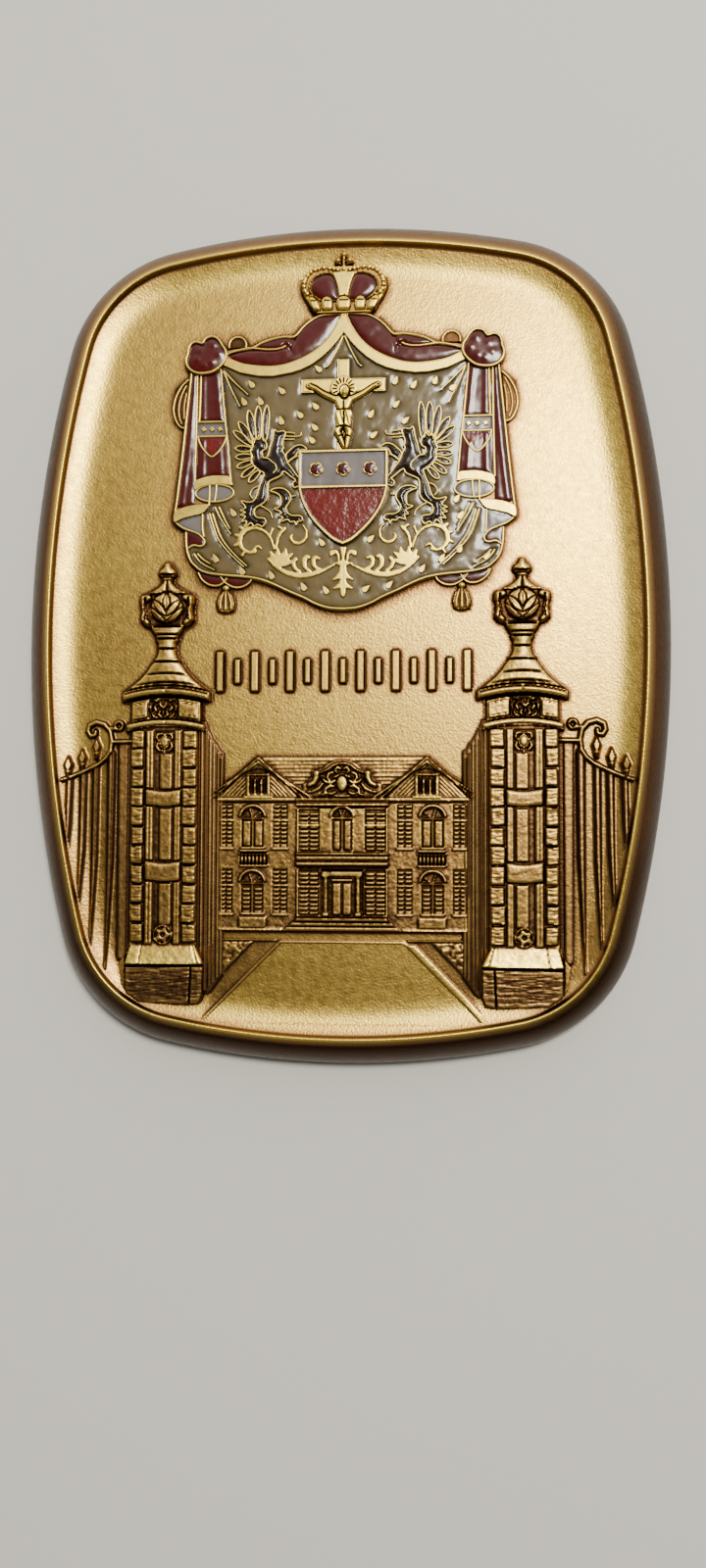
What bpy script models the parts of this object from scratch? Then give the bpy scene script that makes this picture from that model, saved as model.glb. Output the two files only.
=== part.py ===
"""A struck bronze plaquette with a crowned coat of arms in cold enamel over a gate and a mansion.

It lies on its back: X to its right, Y to its top, +Z out of its face, the origin under its middle.
Sizes are in millimetres, and MM turns them into metres where a mesh is made.
"""

import math

import bmesh
import bpy

MM = 0.001
WELD = 0.0001
SHARPEST = 0.4  # keeps the moved corner of a very sharp outline from running away

# Driving dimensions of the plaquette
HALF_WIDTH = 35.0
HALF_HEIGHT = 45.75
SIDE_RADIUS = 131.9
END_RADIUS = 91.8
CORNER_RADIUS = 15.4
CORNER_STEPS = 8
EDGE_STEPS = 3

# Heights above the back
BACK_ROUNDING = 0.5
RIM_FOOT = 1.7
RIM_CREST = 5.0
FIELD = 3.7
ROOT = 2.6
MANSION_WALL = 4.05
PIER_FACE = 4.7
PLATE_FLOOR = 4.0
ENAMEL_GAP = 0.05
ENAMEL_THICKNESS = 0.2
FRAME_RISE = 0.35
LINE_RISE = 0.29
LOBE_RISE = 0.02
TASSEL_RISE = 0.25
CORD_RISE = 0.04
KNOT_FLOOR = 4.45
CROWN_FLOOR = 4.4
SHIELD_FLOOR = 4.3
GRIFFIN_FLOOR = 4.2
CROSS_TOP = 4.38
HALO_TOP = 4.5
FIGURE_TOP = 4.65
HEAD_TOP = 4.8
STROKE_TOP = 4.15
DRIVE_FLOOR = 3.5
KERB_TOP = 3.87
GRAVEL_TOP = 3.92
UNDER_EDGE = 0.06  # how far a pocket's floor stays inside the line round it
STAGGER = 0.004  # plates that cross are made a touch unlike in height, so no two tops lie in one plane

# Rings from the outer edge to the field: how far in each step goes, and how far up or down
RIM_STEPS = (
    (0.0, RIM_FOOT - BACK_ROUNDING),
    (0.7, 1.4),
    (1.0, 1.15),
    (1.2, 0.75),
    (0.4, -0.85),
    (1.2, -0.3),
    (2.2, FIELD - 3.85),
)


def clear_scene():
    for item in list(bpy.context.scene.objects):
        bpy.data.objects.remove(item, do_unlink=True)


def finish(name, colour, metallic, roughness):
    made = bpy.data.materials.new(name)
    made.use_nodes = True
    shader = made.node_tree.nodes["Principled BSDF"]
    shader.inputs["Base Color"].default_value = (*colour, 1.0)
    shader.inputs["Metallic"].default_value = metallic
    shader.inputs["Roughness"].default_value = roughness
    return made


def collection(name):
    made = bpy.data.collections.new(name)
    bpy.context.scene.collection.children.link(made)
    return made


def arc(centre_x, centre_y, radius_x, radius_y, start, end, steps):
    """Points from one angle to another, in degrees, the last one included."""
    turns = [math.radians(start + (end - start) * step / steps) for step in range(steps + 1)]
    return [(centre_x + radius_x * math.cos(turn), centre_y + radius_y * math.sin(turn)) for turn in turns]


def oval(centre_x, centre_y, radius_x, radius_y, steps):
    return arc(centre_x, centre_y, radius_x, radius_y, 0, 360, steps)[:-1]


def box(left, bottom, right, top):
    return [(left, bottom), (right, bottom), (right, top), (left, top)]


def both_halves(right_half):
    """A right half that starts and ends on the middle line, closed with its mirror image."""
    left_half = [(-x, y) for x, y in reversed(right_half) if x > 0.001]
    return list(right_half) + left_half


def on_side(side, outline):
    """The outline as drawn for the right, or mirrored for the left."""
    return [(side * x, y) for x, y in outline]


def grown(outline, by):
    """The outline with each edge moved out by the same distance, or in where the distance is negative."""
    befores = outline[-1:] + outline[:-1]
    afters = outline[1:] + outline[:1]
    area = sum(a[0] * b[1] - b[0] * a[1] for a, b in zip(outline, afters))
    turn = 1 if area > 0 else -1
    moved = []
    for before, here, after in zip(befores, outline, afters):
        normals = []
        for start, end in ((before, here), (here, after)):
            length = math.dist(start, end)
            normals.append(((end[1] - start[1]) / length * turn, (start[0] - end[0]) / length * turn))
        (first_x, first_y), (second_x, second_y) = normals
        share = by / max(1 + first_x * second_x + first_y * second_y, SHARPEST)
        moved.append((here[0] + (first_x + second_x) * share, here[1] + (first_y + second_y) * share))
    return moved


def ribbon(middle):
    """The outline of a tapering stroke through (x, y, half width) points."""
    left, right = [], []
    for index, (x, y, half) in enumerate(middle):
        before = middle[max(index - 1, 0)]
        after = middle[min(index + 1, len(middle) - 1)]
        length = math.dist(before[:2], after[:2])
        along_x = (after[0] - before[0]) / length
        along_y = (after[1] - before[1]) / length
        left.append((x - along_y * half, y + along_x * half))
        right.append((x + along_y * half, y - along_x * half))
    return left + right[::-1]


def plate(name, outline, low, high, into, holes=()):
    """A flat outline, with any holes, made solid between two heights."""
    curve = bpy.data.curves.new(name, "CURVE")
    curve.dimensions = "2D"
    curve.fill_mode = "BOTH"
    curve.extrude = (high - low) / 2 * MM
    for ring in (outline, *holes):
        spline = curve.splines.new("POLY")
        spline.points.add(len(ring) - 1)
        for point, (x, y) in zip(spline.points, ring):
            point.co = (x * MM, y * MM, 0, 1)
        spline.use_cyclic_u = True
    source = bpy.data.objects.new(name, curve)
    source.location.z = (high + low) / 2 * MM
    bpy.context.scene.collection.objects.link(source)
    bpy.context.view_layer.update()
    graph = bpy.context.evaluated_depsgraph_get()
    mesh = bpy.data.meshes.new_from_object(source.evaluated_get(graph))
    mesh.transform(source.matrix_world)
    bpy.data.objects.remove(source, do_unlink=True)
    bpy.data.curves.remove(curve)
    shape = bmesh.new()
    shape.from_mesh(mesh)
    bmesh.ops.remove_doubles(shape, verts=shape.verts, dist=WELD * MM)
    bmesh.ops.recalc_face_normals(shape, faces=shape.faces)
    shape.to_mesh(mesh)
    shape.free()
    made = bpy.data.objects.new(name, mesh)
    into.objects.link(made)
    if into is not PARTS:
        made.hide_render = True
        made.display_type = "WIRE"
    return made


def join(target, operation, others):
    step = target.modifiers.new(others.name, "BOOLEAN")
    step.operation = operation
    step.operand_type = "COLLECTION"
    step.collection = others
    step.solver = "EXACT"


def enamel(name, outline, floor, finish_of):
    """A fill of enamel in its pocket, clear of the metal all round."""
    bed = floor + ENAMEL_GAP
    made = plate(name, grown(outline, -ENAMEL_GAP), bed, bed + ENAMEL_THICKNESS, PARTS)
    made.data.materials.append(finish_of)
    return made


# The slab: outline of tangent arcs, then rings up to the rim's crest and down to the field
def plaquette_outline():
    side_centre = HALF_WIDTH - SIDE_RADIUS
    end_centre = HALF_HEIGHT - END_RADIUS
    side_reach = SIDE_RADIUS - CORNER_RADIUS
    end_reach = END_RADIUS - CORNER_RADIUS
    apart = math.hypot(side_centre, end_centre)
    along = (side_reach**2 - end_reach**2 + apart**2) / (2 * apart)
    across = math.sqrt(side_reach**2 - along**2)
    toward_x, toward_y = -side_centre / apart, end_centre / apart
    corner_x = side_centre + along * toward_x - across * toward_y
    corner_y = along * toward_y + across * toward_x
    low = math.degrees(math.atan2(corner_y, corner_x - side_centre))
    high = math.degrees(math.atan2(corner_y - end_centre, corner_x))
    quarter = arc(side_centre, 0, SIDE_RADIUS, SIDE_RADIUS, 0, low, EDGE_STEPS)
    quarter += arc(corner_x, corner_y, CORNER_RADIUS, CORNER_RADIUS, low, high, CORNER_STEPS)[1:]
    quarter += arc(0, end_centre, END_RADIUS, END_RADIUS, high, 90, EDGE_STEPS)[1:]
    upper = quarter + [(-x, y) for x, y in reversed(quarter[:-1])]
    return upper + [(x, -y) for x, y in reversed(upper[1:-1])]


def slab():
    shape = bmesh.new()
    corners = [shape.verts.new((x * MM, y * MM, BACK_ROUNDING * MM)) for x, y in plaquette_outline()]
    top = shape.faces.new(corners)
    bottom = shape.faces.new([shape.verts.new(corner.co) for corner in reversed(corners)])
    shape.normal_update()
    bmesh.ops.inset_individual(
        shape, faces=[bottom], thickness=BACK_ROUNDING * MM, depth=BACK_ROUNDING * MM, use_even_offset=True
    )
    for inward, upward in RIM_STEPS:
        bmesh.ops.inset_individual(
            shape, faces=[top], thickness=inward * MM, depth=upward * MM, use_even_offset=True
        )
    bmesh.ops.remove_doubles(shape, verts=shape.verts, dist=WELD * MM)
    bmesh.ops.recalc_face_normals(shape, faces=shape.faces)
    mesh = bpy.data.meshes.new("plaquette")
    shape.to_mesh(mesh)
    shape.free()
    made = bpy.data.objects.new("plaquette", mesh)
    mesh.materials.append(BRONZE)
    PARTS.objects.link(made)
    return made


# The arms: every outline is drawn for the right half and mirrored for the left
MANTLE = (
    (0, 35.3), (2.7, 35.3), (3.8, 34.8), (5.6, 33.05), (7.4, 32.95), (8.9, 32.55), (10.0, 31.85),
    (12.9, 31.5), (16.4, 30.4), (16.95, 28.9), (17.6, 22.0), (18.35, 14.2), (18.6, 13.2), (18.5, 12.5),
    (17.2, 11.5), (17.0, 9.9), (16.85, 9.0), (16.4, 8.1),
    (15.7, 7.4), (14.8, 6.95), (10.4, 6.35), (8.2, 5.8), (6.2, 4.95), (2.2, 3.1), (1.0, 2.85), (0, 2.8),
)
LINING = (
    (0, 32.9), (0.9, 31.7), (2.2, 30.35), (3.7, 29.3), (5.7, 28.65), (8.2, 28.4), (11.2, 28.85), (13.0, 29.5),
    (13.1, 29.0), (12.6, 23.4), (11.85, 17.4), (11.65, 16.2), (11.8, 15.4), (12.4, 14.85), (13.4, 14.5),
    (14.35, 14.35), (14.8, 13.5), (14.85, 10.4), (14.6, 9.85), (15.4, 9.7), (16.75, 9.8), (16.6, 8.9),
    (16.15, 8.25), (15.5, 7.65), (14.7, 7.25), (10.3, 6.65), (8.1, 6.1), (2.2, 3.4), (1.0, 3.12), (0, 3.1),
)
SWAG = (
    (0.45, 34.95), (2.7, 34.95), (3.6, 34.5), (5.5, 32.7), (7.3, 32.6), (8.7, 32.2), (9.8, 31.5),
    (12.7, 31.1), (12.75, 30.7), (11.4, 30.0), (9.6, 29.65), (7.7, 29.55), (5.7, 29.8), (4.2, 30.45),
    (2.7, 31.6), (1.2, 33.3),
)
CURTAIN_EDGE = (
    (16.05, 28.7), (16.6, 28.7), (17.1, 23.8), (17.6, 18.8), (18.05, 14.2), (17.0, 14.5), (16.1, 14.75),
    (16.35, 15.6), (16.2, 17.0),
)
CURTAIN_UPPER = ((13.55, 28.7), (15.55, 28.7), (15.8, 23.7), (13.05, 23.7))
CURTAIN_LOWER = (
    (12.6, 20.7), (13.3, 20.6), (14.4, 19.45), (15.5, 20.6), (15.9, 20.7), (15.95, 17.2), (15.2, 17.5),
    (13.8, 17.85), (12.2, 17.6),
)
CURL = ((15.2, 13.2), (16.8, 12.85), (17.9, 12.35), (17.4, 11.9), (16.3, 11.5), (15.2, 11.25))
INNER_CURL = (13.95, 15.6, 1.85, 0.75)
CURL_STEPS = 10
KNOT_AT = (15.1, 30.85)
KNOT_RADIUS = 2.15
KNOT_LOBE = 0.22
KNOT_LOBES = 5
KNOT_STEPS = 15
KNOT_LINE = 0.3
HANGING_LOBES = (
    (15.7, 7.3), (15.2, 6.1), (14.2, 5.5), (13.1, 5.8), (12.2, 5.4), (11.2, 5.4), (10.3, 6.5), (11.5, 7.3),
)
TASSEL = (
    (12.5, 5.9), (12.9, 5.9), (13.0, 4.8), (13.55, 4.2), (13.6, 3.2), (13.2, 2.75), (12.2, 2.75),
    (11.8, 3.2), (11.85, 4.2), (12.4, 4.8),
)
CORD_LOOP = ((17.2, 28.2, 0.15), (18.2, 27, 0.3), (18.6, 25.3, 0.35), (18.2, 23.6, 0.3), (17.6, 23.1, 0.15))
CROWN = (
    (0, 40.35), (1.2, 40.3), (2.1, 40.45), (3.0, 40.35), (3.7, 39.95), (4.3, 39.3), (4.6, 38.5),
    (4.6, 37.8), (4.25, 37.0), (3.1, 35.1), (0, 35.1),
)
CROWN_CAP = (
    (1.15, 39.3), (2.4, 39.35), (3.25, 38.95), (3.65, 38.3), (3.5, 37.6), (2.95, 37.1), (0.6, 37.1),
    (0.8, 38.5),
)
CROWN_CROSS = (
    (0, 41.9), (0.3, 41.5), (0.25, 41.1), (0.75, 41.25), (0.9, 40.85), (0.6, 40.55), (0.25, 40.6),
    (0.25, 40.1),
    (0, 40.1),
)
FLEURONS = ((0, 0.8), (1.72, 0.62), (3.05, 0.5))
FLEURON_FOOT = 35.3
FLEURON_SHOULDER = 36.5
FLEURON_TIP = 36.95
FLEURON_TOP = 4.9
FLEURON_STAGGER = 0.025
SHIELD = (
    (0, 20.0), (4.8, 20.0), (4.8, 15.95), (4.45, 14.7), (3.9, 13.4), (3.1, 12.25), (2.0, 11.1), (1.0, 10.25),
    (0, 9.8),
)
SHIELD_FIELD = (
    (0, 15.8), (4.5, 15.8), (4.15, 14.6), (3.6, 13.4), (2.8, 12.3), (1.75, 11.2), (0.85, 10.5), (0, 10.15),
)
SHIELD_CHIEF = box(-4.5, 16.2, 4.5, 19.75)
CROSS = ((0, 30.1), (0.7, 30.1), (0.7, 27.9), (4.6, 27.9), (4.6, 26.4), (0.7, 26.4), (0.7, 19.9), (0, 19.9))
HALO = (0, 26.8, 1.35, 1.35, 12)
HEAD = (0, 26.55, 0.45, 0.65, 8)
FIGURE = (
    (0, 26.3), (1.3, 26.35), (3.4, 27.35), (3.8, 27.0), (3.6, 26.75), (1.2, 25.0), (0.75, 24.4), (0.95, 23.6),
    (0.9, 22.8), (1.15, 22.0), (0.8, 21.2), (0.45, 20.25), (0, 20.2),
)
GRIFFIN_FRONT = (
    (7.7, 21.6), (7.6, 22.4), (6.4, 22.4), (5.1, 22.0), (5.2, 21.4), (6.5, 21.2), (6.2, 19.7), (5.3, 20.65),
    (4.5, 20.75), (3.9, 20.25), (4.72, 19.95), (4.72, 15.7), (5.5, 17.0), (6.6, 17.9), (8.0, 16.6),
    (7.9, 16.1),
    (6.9, 16.15), (5.7, 15.5), (6.2, 14.0), (5.4, 13.1), (4.7, 12.4), (5.2, 11.9), (6.5, 12.5), (7.0, 15.2),
    (8.0, 15.4), (8.3, 14.7), (9.4, 14.0), (9.4, 13.0), (8.4, 12.6), (8.4, 11.9), (10.3, 11.9), (10.5, 14.0),
    (11.0, 14.7), (9.8, 14.8), (8.8, 17.3), (9.6, 18.1),
)
GRIFFIN_NECK = ((8.4, 20.9), (8.7, 19.5), (8.2, 19.4))
WING_ROOT = (9.4, 20.0)
WING_TIPS = (
    (10.4, 16.8), (11.3, 17.3), (11.6, 18.3), (11.85, 19.3), (11.9, 20.5), (12.0, 22.2), (11.5, 23.4),
    (10.5, 24.6), (9.55, 25.1), (8.6, 25.1),
)
WING_NOTCH = 0.5
GRIFFIN_BODY = (
    (7.3, 22.0), (6.6, 22.0), (6.9, 20.4), (6.3, 18.8), (8.2, 16.8), (8.4, 15.2), (9.2, 14.9), (8.5, 17.0),
    (8.6, 17.8), (9.6, 18.6), (10.0, 19.5), (9.5, 20.7), (8.9, 20.9), (8.9, 19.2), (8.2, 19.1), (7.7, 20.2),
)
SCROLLS = (
    (
        (7.2, 9.7, 0.2), (8.2, 11.0, 0.22), (9.5, 11.65, 0.3), (10.8, 11.2, 0.3), (11.1, 10.0, 0.25),
        (10.1, 9.0, 0.25), (9.2, 9.2, 0.3),
    ),
    ((4.5, 11.7, 0.15), (4.05, 11.0, 0.2), (4.4, 10.15, 0.2), (5.1, 9.9, 0.2), (5.6, 10.5, 0.2)),
    (
        (7.7, 7.7, 0.2), (6.3, 7.3, 0.5), (4.7, 6.7, 0.35), (3.2, 6.65, 0.3),
        (2.3, 6.95, 0.22), (1.7, 7.3, 0.1),
    ),
)
LEAF = (6.2, 8.5, 0.9, 1.0)
LEAF_STEPS = 8
STEM = (
    (0, 9.55), (0.38, 9.5), (0.2, 8.3), (0.25, 7.95), (1.15, 7.9), (1.1, 7.68), (0.45, 7.5), (0.5, 6.8),
    (1.2, 5.95), (0.4, 6.0), (1.1, 4.95), (0.35, 5.0), (0.35, 4.4), (0, 3.9),
)


def clear_of_cloth(name, outline):
    """Keeps the lining's enamel off a piece of metal that stands in it."""
    height = RIM_CREST + len(CLEARANCE.objects) * STAGGER
    plate(f"{name} clearance", grown(outline, ENAMEL_GAP), ROOT, height, CLEARANCE)


def standing(name, outline, top):
    plate(name, outline, ROOT, top, RELIEF)
    clear_of_cloth(name, outline)


def mantle():
    """The cloth as a low plate, and over it the raised metal lines that part the colours."""
    outline = both_halves(MANTLE)
    lining = both_halves(LINING)
    plate("mantle floor", grown(outline, -UNDER_EDGE), ROOT, PLATE_FLOOR, RELIEF)
    pockets = [lining]
    for word, side in SIDES:
        regions = {
            f"swag_red_{word}": SWAG,
            f"curtain_edge_red_{word}": CURTAIN_EDGE,
            f"curtain_upper_red_{word}": CURTAIN_UPPER,
            f"curtain_lower_red_{word}": CURTAIN_LOWER,
        }
        for name, region in regions.items():
            region = on_side(side, region)
            pockets.append(region)
            enamel(name, region, PLATE_FLOOR, RED)
        for name, region in (
            (f"outer_curl_grey_{word}", CURL),
            (f"inner_curl_grey_{word}", oval(*INNER_CURL, CURL_STEPS)),
        ):
            region = on_side(side, region)
            pockets.append(region)
            enamel(name, region, PLATE_FLOOR, GREY)
        plate("hanging lobes", on_side(side, HANGING_LOBES), ROOT, PLATE_FLOOR + LOBE_RISE, RELIEF)
        plate("tassel", on_side(side, TASSEL), ROOT, PLATE_FLOOR + TASSEL_RISE, RELIEF)
        plate("cord loop", on_side(side, ribbon(CORD_LOOP)), ROOT, PLATE_FLOOR + CORD_RISE, RELIEF)
        knot(word, side)
    plate("mantle lines", outline, ROOT, PLATE_FLOOR + FRAME_RISE, RELIEF, pockets)
    return enamel("mantle_lining_olive", lining, PLATE_FLOOR, OLIVE)


def knot(word, side):
    """The gathered knot where a swag meets its curtain, a lobed boss with a pocket."""
    def lobed(radius):
        turns = [2 * math.pi * step / KNOT_STEPS for step in range(KNOT_STEPS)]
        reach = [radius - KNOT_LOBE * math.cos(KNOT_LOBES * turn) for turn in turns]
        x, y = KNOT_AT
        return on_side(
            side, [(x + r * math.cos(turn), y + r * math.sin(turn)) for r, turn in zip(reach, turns)]
        )

    pocket = lobed(KNOT_RADIUS - KNOT_LINE)
    plate("knot floor", lobed(KNOT_RADIUS - UNDER_EDGE), ROOT, KNOT_FLOOR, RELIEF)
    plate("knot line", lobed(KNOT_RADIUS), ROOT, KNOT_FLOOR + FRAME_RISE, RELIEF, [pocket])
    enamel(f"knot_red_{word}", pocket, KNOT_FLOOR, RED)


def crown():
    """The crown over the mantle, with a cap in each half, five fleurons and a cross."""
    outline = both_halves(CROWN)
    caps = [on_side(side, CROWN_CAP) for _, side in SIDES]
    plate("crown floor", grown(outline, -UNDER_EDGE), ROOT, CROWN_FLOOR, RELIEF)
    plate("crown arches", outline, ROOT, CROWN_FLOOR + FRAME_RISE, RELIEF, caps)
    for (word, _), cap in zip(SIDES, caps):
        enamel(f"crown_cap_red_{word}", cap, CROWN_FLOOR, RED)
    plate("crown cross", both_halves(CROWN_CROSS), ROOT, CROWN_FLOOR + FRAME_RISE / 2, RELIEF)
    for away, half in FLEURONS:
        top = FLEURON_TOP + away * FLEURON_STAGGER
        for side in (1, -1) if away else (1,):
            leaf = box(away - half, FLEURON_FOOT, away + half, FLEURON_SHOULDER)
            leaf.insert(3, (away, FLEURON_TIP))
            plate("fleuron", on_side(side, leaf), ROOT, top, RELIEF)


def shield_and_cross():
    """The framed shield, and above it the cross with its figure against a round halo."""
    outline = both_halves(SHIELD)
    field = both_halves(SHIELD_FIELD)
    plate("shield floor", grown(outline, -UNDER_EDGE), ROOT, SHIELD_FLOOR, RELIEF)
    plate("shield lines", outline, ROOT, SHIELD_FLOOR + FRAME_RISE, RELIEF, [field, SHIELD_CHIEF])
    enamel("shield_field_red", field, SHIELD_FLOOR, RED)
    enamel("shield_chief_grey", SHIELD_CHIEF, SHIELD_FLOOR, GREY)
    clear_of_cloth("shield", outline)
    standing("cross", both_halves(CROSS), CROSS_TOP)
    standing("halo", oval(*HALO), HALO_TOP)
    standing("figure", both_halves(FIGURE), FIGURE_TOP)
    plate("head", oval(*HEAD), ROOT, HEAD_TOP, RELIEF)


def griffin(word, side):
    """A supporter seen from its side, wings up, with black enamel on its body."""
    wing = []
    for tip, after in zip(WING_TIPS, WING_TIPS[1:] + (None,)):
        wing.append(tip)
        if after:
            middle = [(a + b) / 2 for a, b in zip(tip, after)]
            wing.append(tuple(r + (m - r) * WING_NOTCH for r, m in zip(WING_ROOT, middle)))
    outline = on_side(side, list(GRIFFIN_FRONT) + wing + list(GRIFFIN_NECK))
    pocket = on_side(side, GRIFFIN_BODY)
    plate("griffin floor", grown(pocket, UNDER_EDGE), ROOT, GRIFFIN_FLOOR, RELIEF)
    plate("griffin lines", outline, ROOT, GRIFFIN_FLOOR + LINE_RISE, RELIEF, [pocket])
    enamel(f"griffin_black_{word}", pocket, GRIFFIN_FLOOR, BLACK)
    clear_of_cloth("griffin", outline)


def scrolls():
    """Leaf scrolls under the shield, growing out of a middle stem."""
    shapes = [("stem", both_halves(STEM))]
    for _, side in SIDES:
        shapes += [("scroll", on_side(side, ribbon(path))) for path in SCROLLS]
        shapes.append(("leaf", on_side(side, oval(*LEAF, LEAF_STEPS))))
    for index, (name, outline) in enumerate(shapes):
        standing(name, outline, PLATE_FLOOR + LINE_RISE + index * STAGGER)


# The gate: each pier is drawn about its own axis, from its finial down to its base
PIER_AXIS = 19.05
PIER_PROFILE = (
    (0, 8.1), (0.5, 7.9), (0.9, 7.1), (0.4, 6.4), (0.5, 5.9), (2.0, 4.8), (2.7, 4.5), (2.85, 3.9),
    (2.75, 1.5), (1.8, 1.15), (1.5, 0.1), (1.1, -0.3), (1.1, -1.9), (1.9, -3.4), (3.0, -4.3), (4.1, -5.2),
    (4.9, -5.7), (4.9, -6.4), (3.9, -6.9), (3.85, -9.0), (4.4, -9.3), (4.4, -9.8), (3.75, -10.1),
    (3.75, -33.1),
    (4.5, -35.3), (4.5, -39.5), (0, -39.5),
)
PIER_GROUND = 4.35
COURSES = 11
COURSE_TOP = -10.25
COURSE_PITCH = 2.07
JOINT = 0.3
QUOIN = (2.0, 3.65)
STRIP = (1.1, 1.8)
BOSSES = ((-18.3, -16.7), (-26.3, -24.3))
BOSS_HALF = 1.88
BUD = (0, 7.1, 0.75, 0.85, 8)
URN = (0, 3.0, 1.75, 1.7, 10)
BELL = ((0, -2.6), (1.2, -2.7), (3.4, -5.1), (0, -5.1))
CORNICE = box(-4.75, -6.35, 4.75, -5.6)
FRIEZE_ORNAMENT = box(-1.5, -8.8, 1.5, -7.1)
ASTRAGAL = box(-4.25, -9.75, 4.25, -9.25)
ROSETTE = (0, -32.0, 0.9, 0.9, 8)
BASE_SLOPE = ((0, -33.2), (3.6, -33.2), (4.3, -35.2), (0, -35.2))
BASE_BLOCK = box(-4.3, -39.3, 4.3, -35.6)
GATE_LEAF = (
    (15.45, -9.2), (14.8, -9.2), (14.2, -10.5), (13.75, -11.3), (13.2, -12.4), (12.75, -12.5), (12.75, -36.6),
    (15.45, -37.8),
)
GATE_BARS = ((14.9, -9.8), (14.1, -11.2), (13.3, -12.8))
GATE_BAR_FOOT = -36.0
GATE_BAR_HALF = 0.14
RAIL = (
    (25.6, -12.3, 0.16), (27.0, -13.8, 0.16), (28.6, -14.9, 0.16), (30.0, -15.6, 0.16), (31.3, -16.1, 0.16),
)
RAIL_SCROLL = (
    (25.3, -12.3, 0.2), (25.0, -10.6, 0.25), (25.7, -9.7, 0.3), (26.8, -9.6, 0.35), (27.2, -10.4, 0.4),
    (26.8, -10.9, 0.2),
)
CROSS_RAIL = box(22.6, -11.3, 25.2, -10.95)
BAR_HEAD = 0.3
BAR_TIP = 0.07
BAR_LEAN = 0.05
RAIL_BARS = ((25.3, -12.2, -35.0), (26.9, -13.6, -32.5), (28.5, -14.8, -27.8), (30.2, -15.7, -21.5))
SPEARS = ((26.8, -12.5), (28.4, -13.3), (30.0, -14.1))
SPEAR_SHAPE = ((0, 1.0), (0.6, 0), (0.35, -1.4), (-0.35, -2.2), (-0.6, 0))
LEAF_TOP = 4.0
LEAF_BAR_TOP = 4.2
RAIL_TOP = 4.12
CROSS_RAIL_TOP = 4.05
SPEAR_TOP = 4.16


def pier(side):
    def about_axis(outline):
        return on_side(side, [(PIER_AXIS + x, y) for x, y in outline])

    def both_sides_of_axis(right):
        return about_axis(both_halves(right))

    plate("pier", both_sides_of_axis(PIER_PROFILE), ROOT, PIER_GROUND, RELIEF)
    plate("bud", about_axis(oval(*BUD)), ROOT, PIER_GROUND + 0.2, RELIEF)
    plate("urn", about_axis(oval(*URN)), ROOT, PIER_GROUND + 0.35, RELIEF)
    plate("bell", both_sides_of_axis(BELL), ROOT, PIER_GROUND + 0.15, RELIEF)
    plate("cornice", about_axis(CORNICE), ROOT, PIER_FACE + 0.2, RELIEF)
    plate("frieze ornament", about_axis(FRIEZE_ORNAMENT), ROOT, PIER_GROUND + 0.3, RELIEF)
    plate("astragal", about_axis(ASTRAGAL), ROOT, PIER_FACE + 0.1, RELIEF)
    for row in range(COURSES):
        top = COURSE_TOP - row * COURSE_PITCH
        for hand in (-1, 1):
            left, right = sorted((hand * QUOIN[0], hand * QUOIN[1]))
            quoin = about_axis(box(left, top - COURSE_PITCH + JOINT, right, top))
            plate("quoin", quoin, ROOT, PIER_FACE, RELIEF)
    for hand in (-1, 1):
        left, right = sorted((hand * STRIP[0], hand * STRIP[1]))
        plate("strip", about_axis(box(left, -32.9, right, -10.2)), ROOT, PIER_FACE - 0.15, RELIEF)
    for low, high in BOSSES:
        boss = about_axis(box(-BOSS_HALF, low, BOSS_HALF, high))
        plate("boss", boss, ROOT, PIER_FACE - 0.03, RELIEF)
    plate("rosette", about_axis(oval(*ROSETTE)), ROOT, PIER_FACE - 0.06, RELIEF)
    plate("base slope", both_sides_of_axis(BASE_SLOPE), ROOT, PIER_FACE, RELIEF)
    plate("base block", about_axis(BASE_BLOCK), ROOT, PIER_FACE + 0.05, RELIEF)


def gate(side):
    """The open leaf seen nearly edge on beside the pier, and the railings on its outer side."""
    plate("leaf", on_side(side, GATE_LEAF), ROOT, LEAF_TOP, RELIEF)
    for index, (x, top) in enumerate(GATE_BARS):
        bar = box(x - GATE_BAR_HALF, GATE_BAR_FOOT, x + GATE_BAR_HALF, top)
        plate("leaf bar", on_side(side, bar), ROOT, LEAF_BAR_TOP + index * STAGGER, RELIEF)
    plate("rail", on_side(side, ribbon(RAIL)), ROOT, RAIL_TOP, RELIEF)
    plate("rail scroll", on_side(side, ribbon(RAIL_SCROLL)), ROOT, LEAF_BAR_TOP, RELIEF)
    plate("cross rail", on_side(side, CROSS_RAIL), ROOT, CROSS_RAIL_TOP, RELIEF)
    for x, top, foot in RAIL_BARS:
        bar = ribbon(((x, top, BAR_HEAD), (x + BAR_LEAN, foot, BAR_TIP)))
        plate("bar", on_side(side, bar), ROOT, LEAF_TOP, RELIEF)
    for x, y in SPEARS:
        spear = [(x + across, y + up) for across, up in SPEAR_SHAPE]
        plate("spear", on_side(side, spear), ROOT, SPEAR_TOP, RELIEF)


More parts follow.
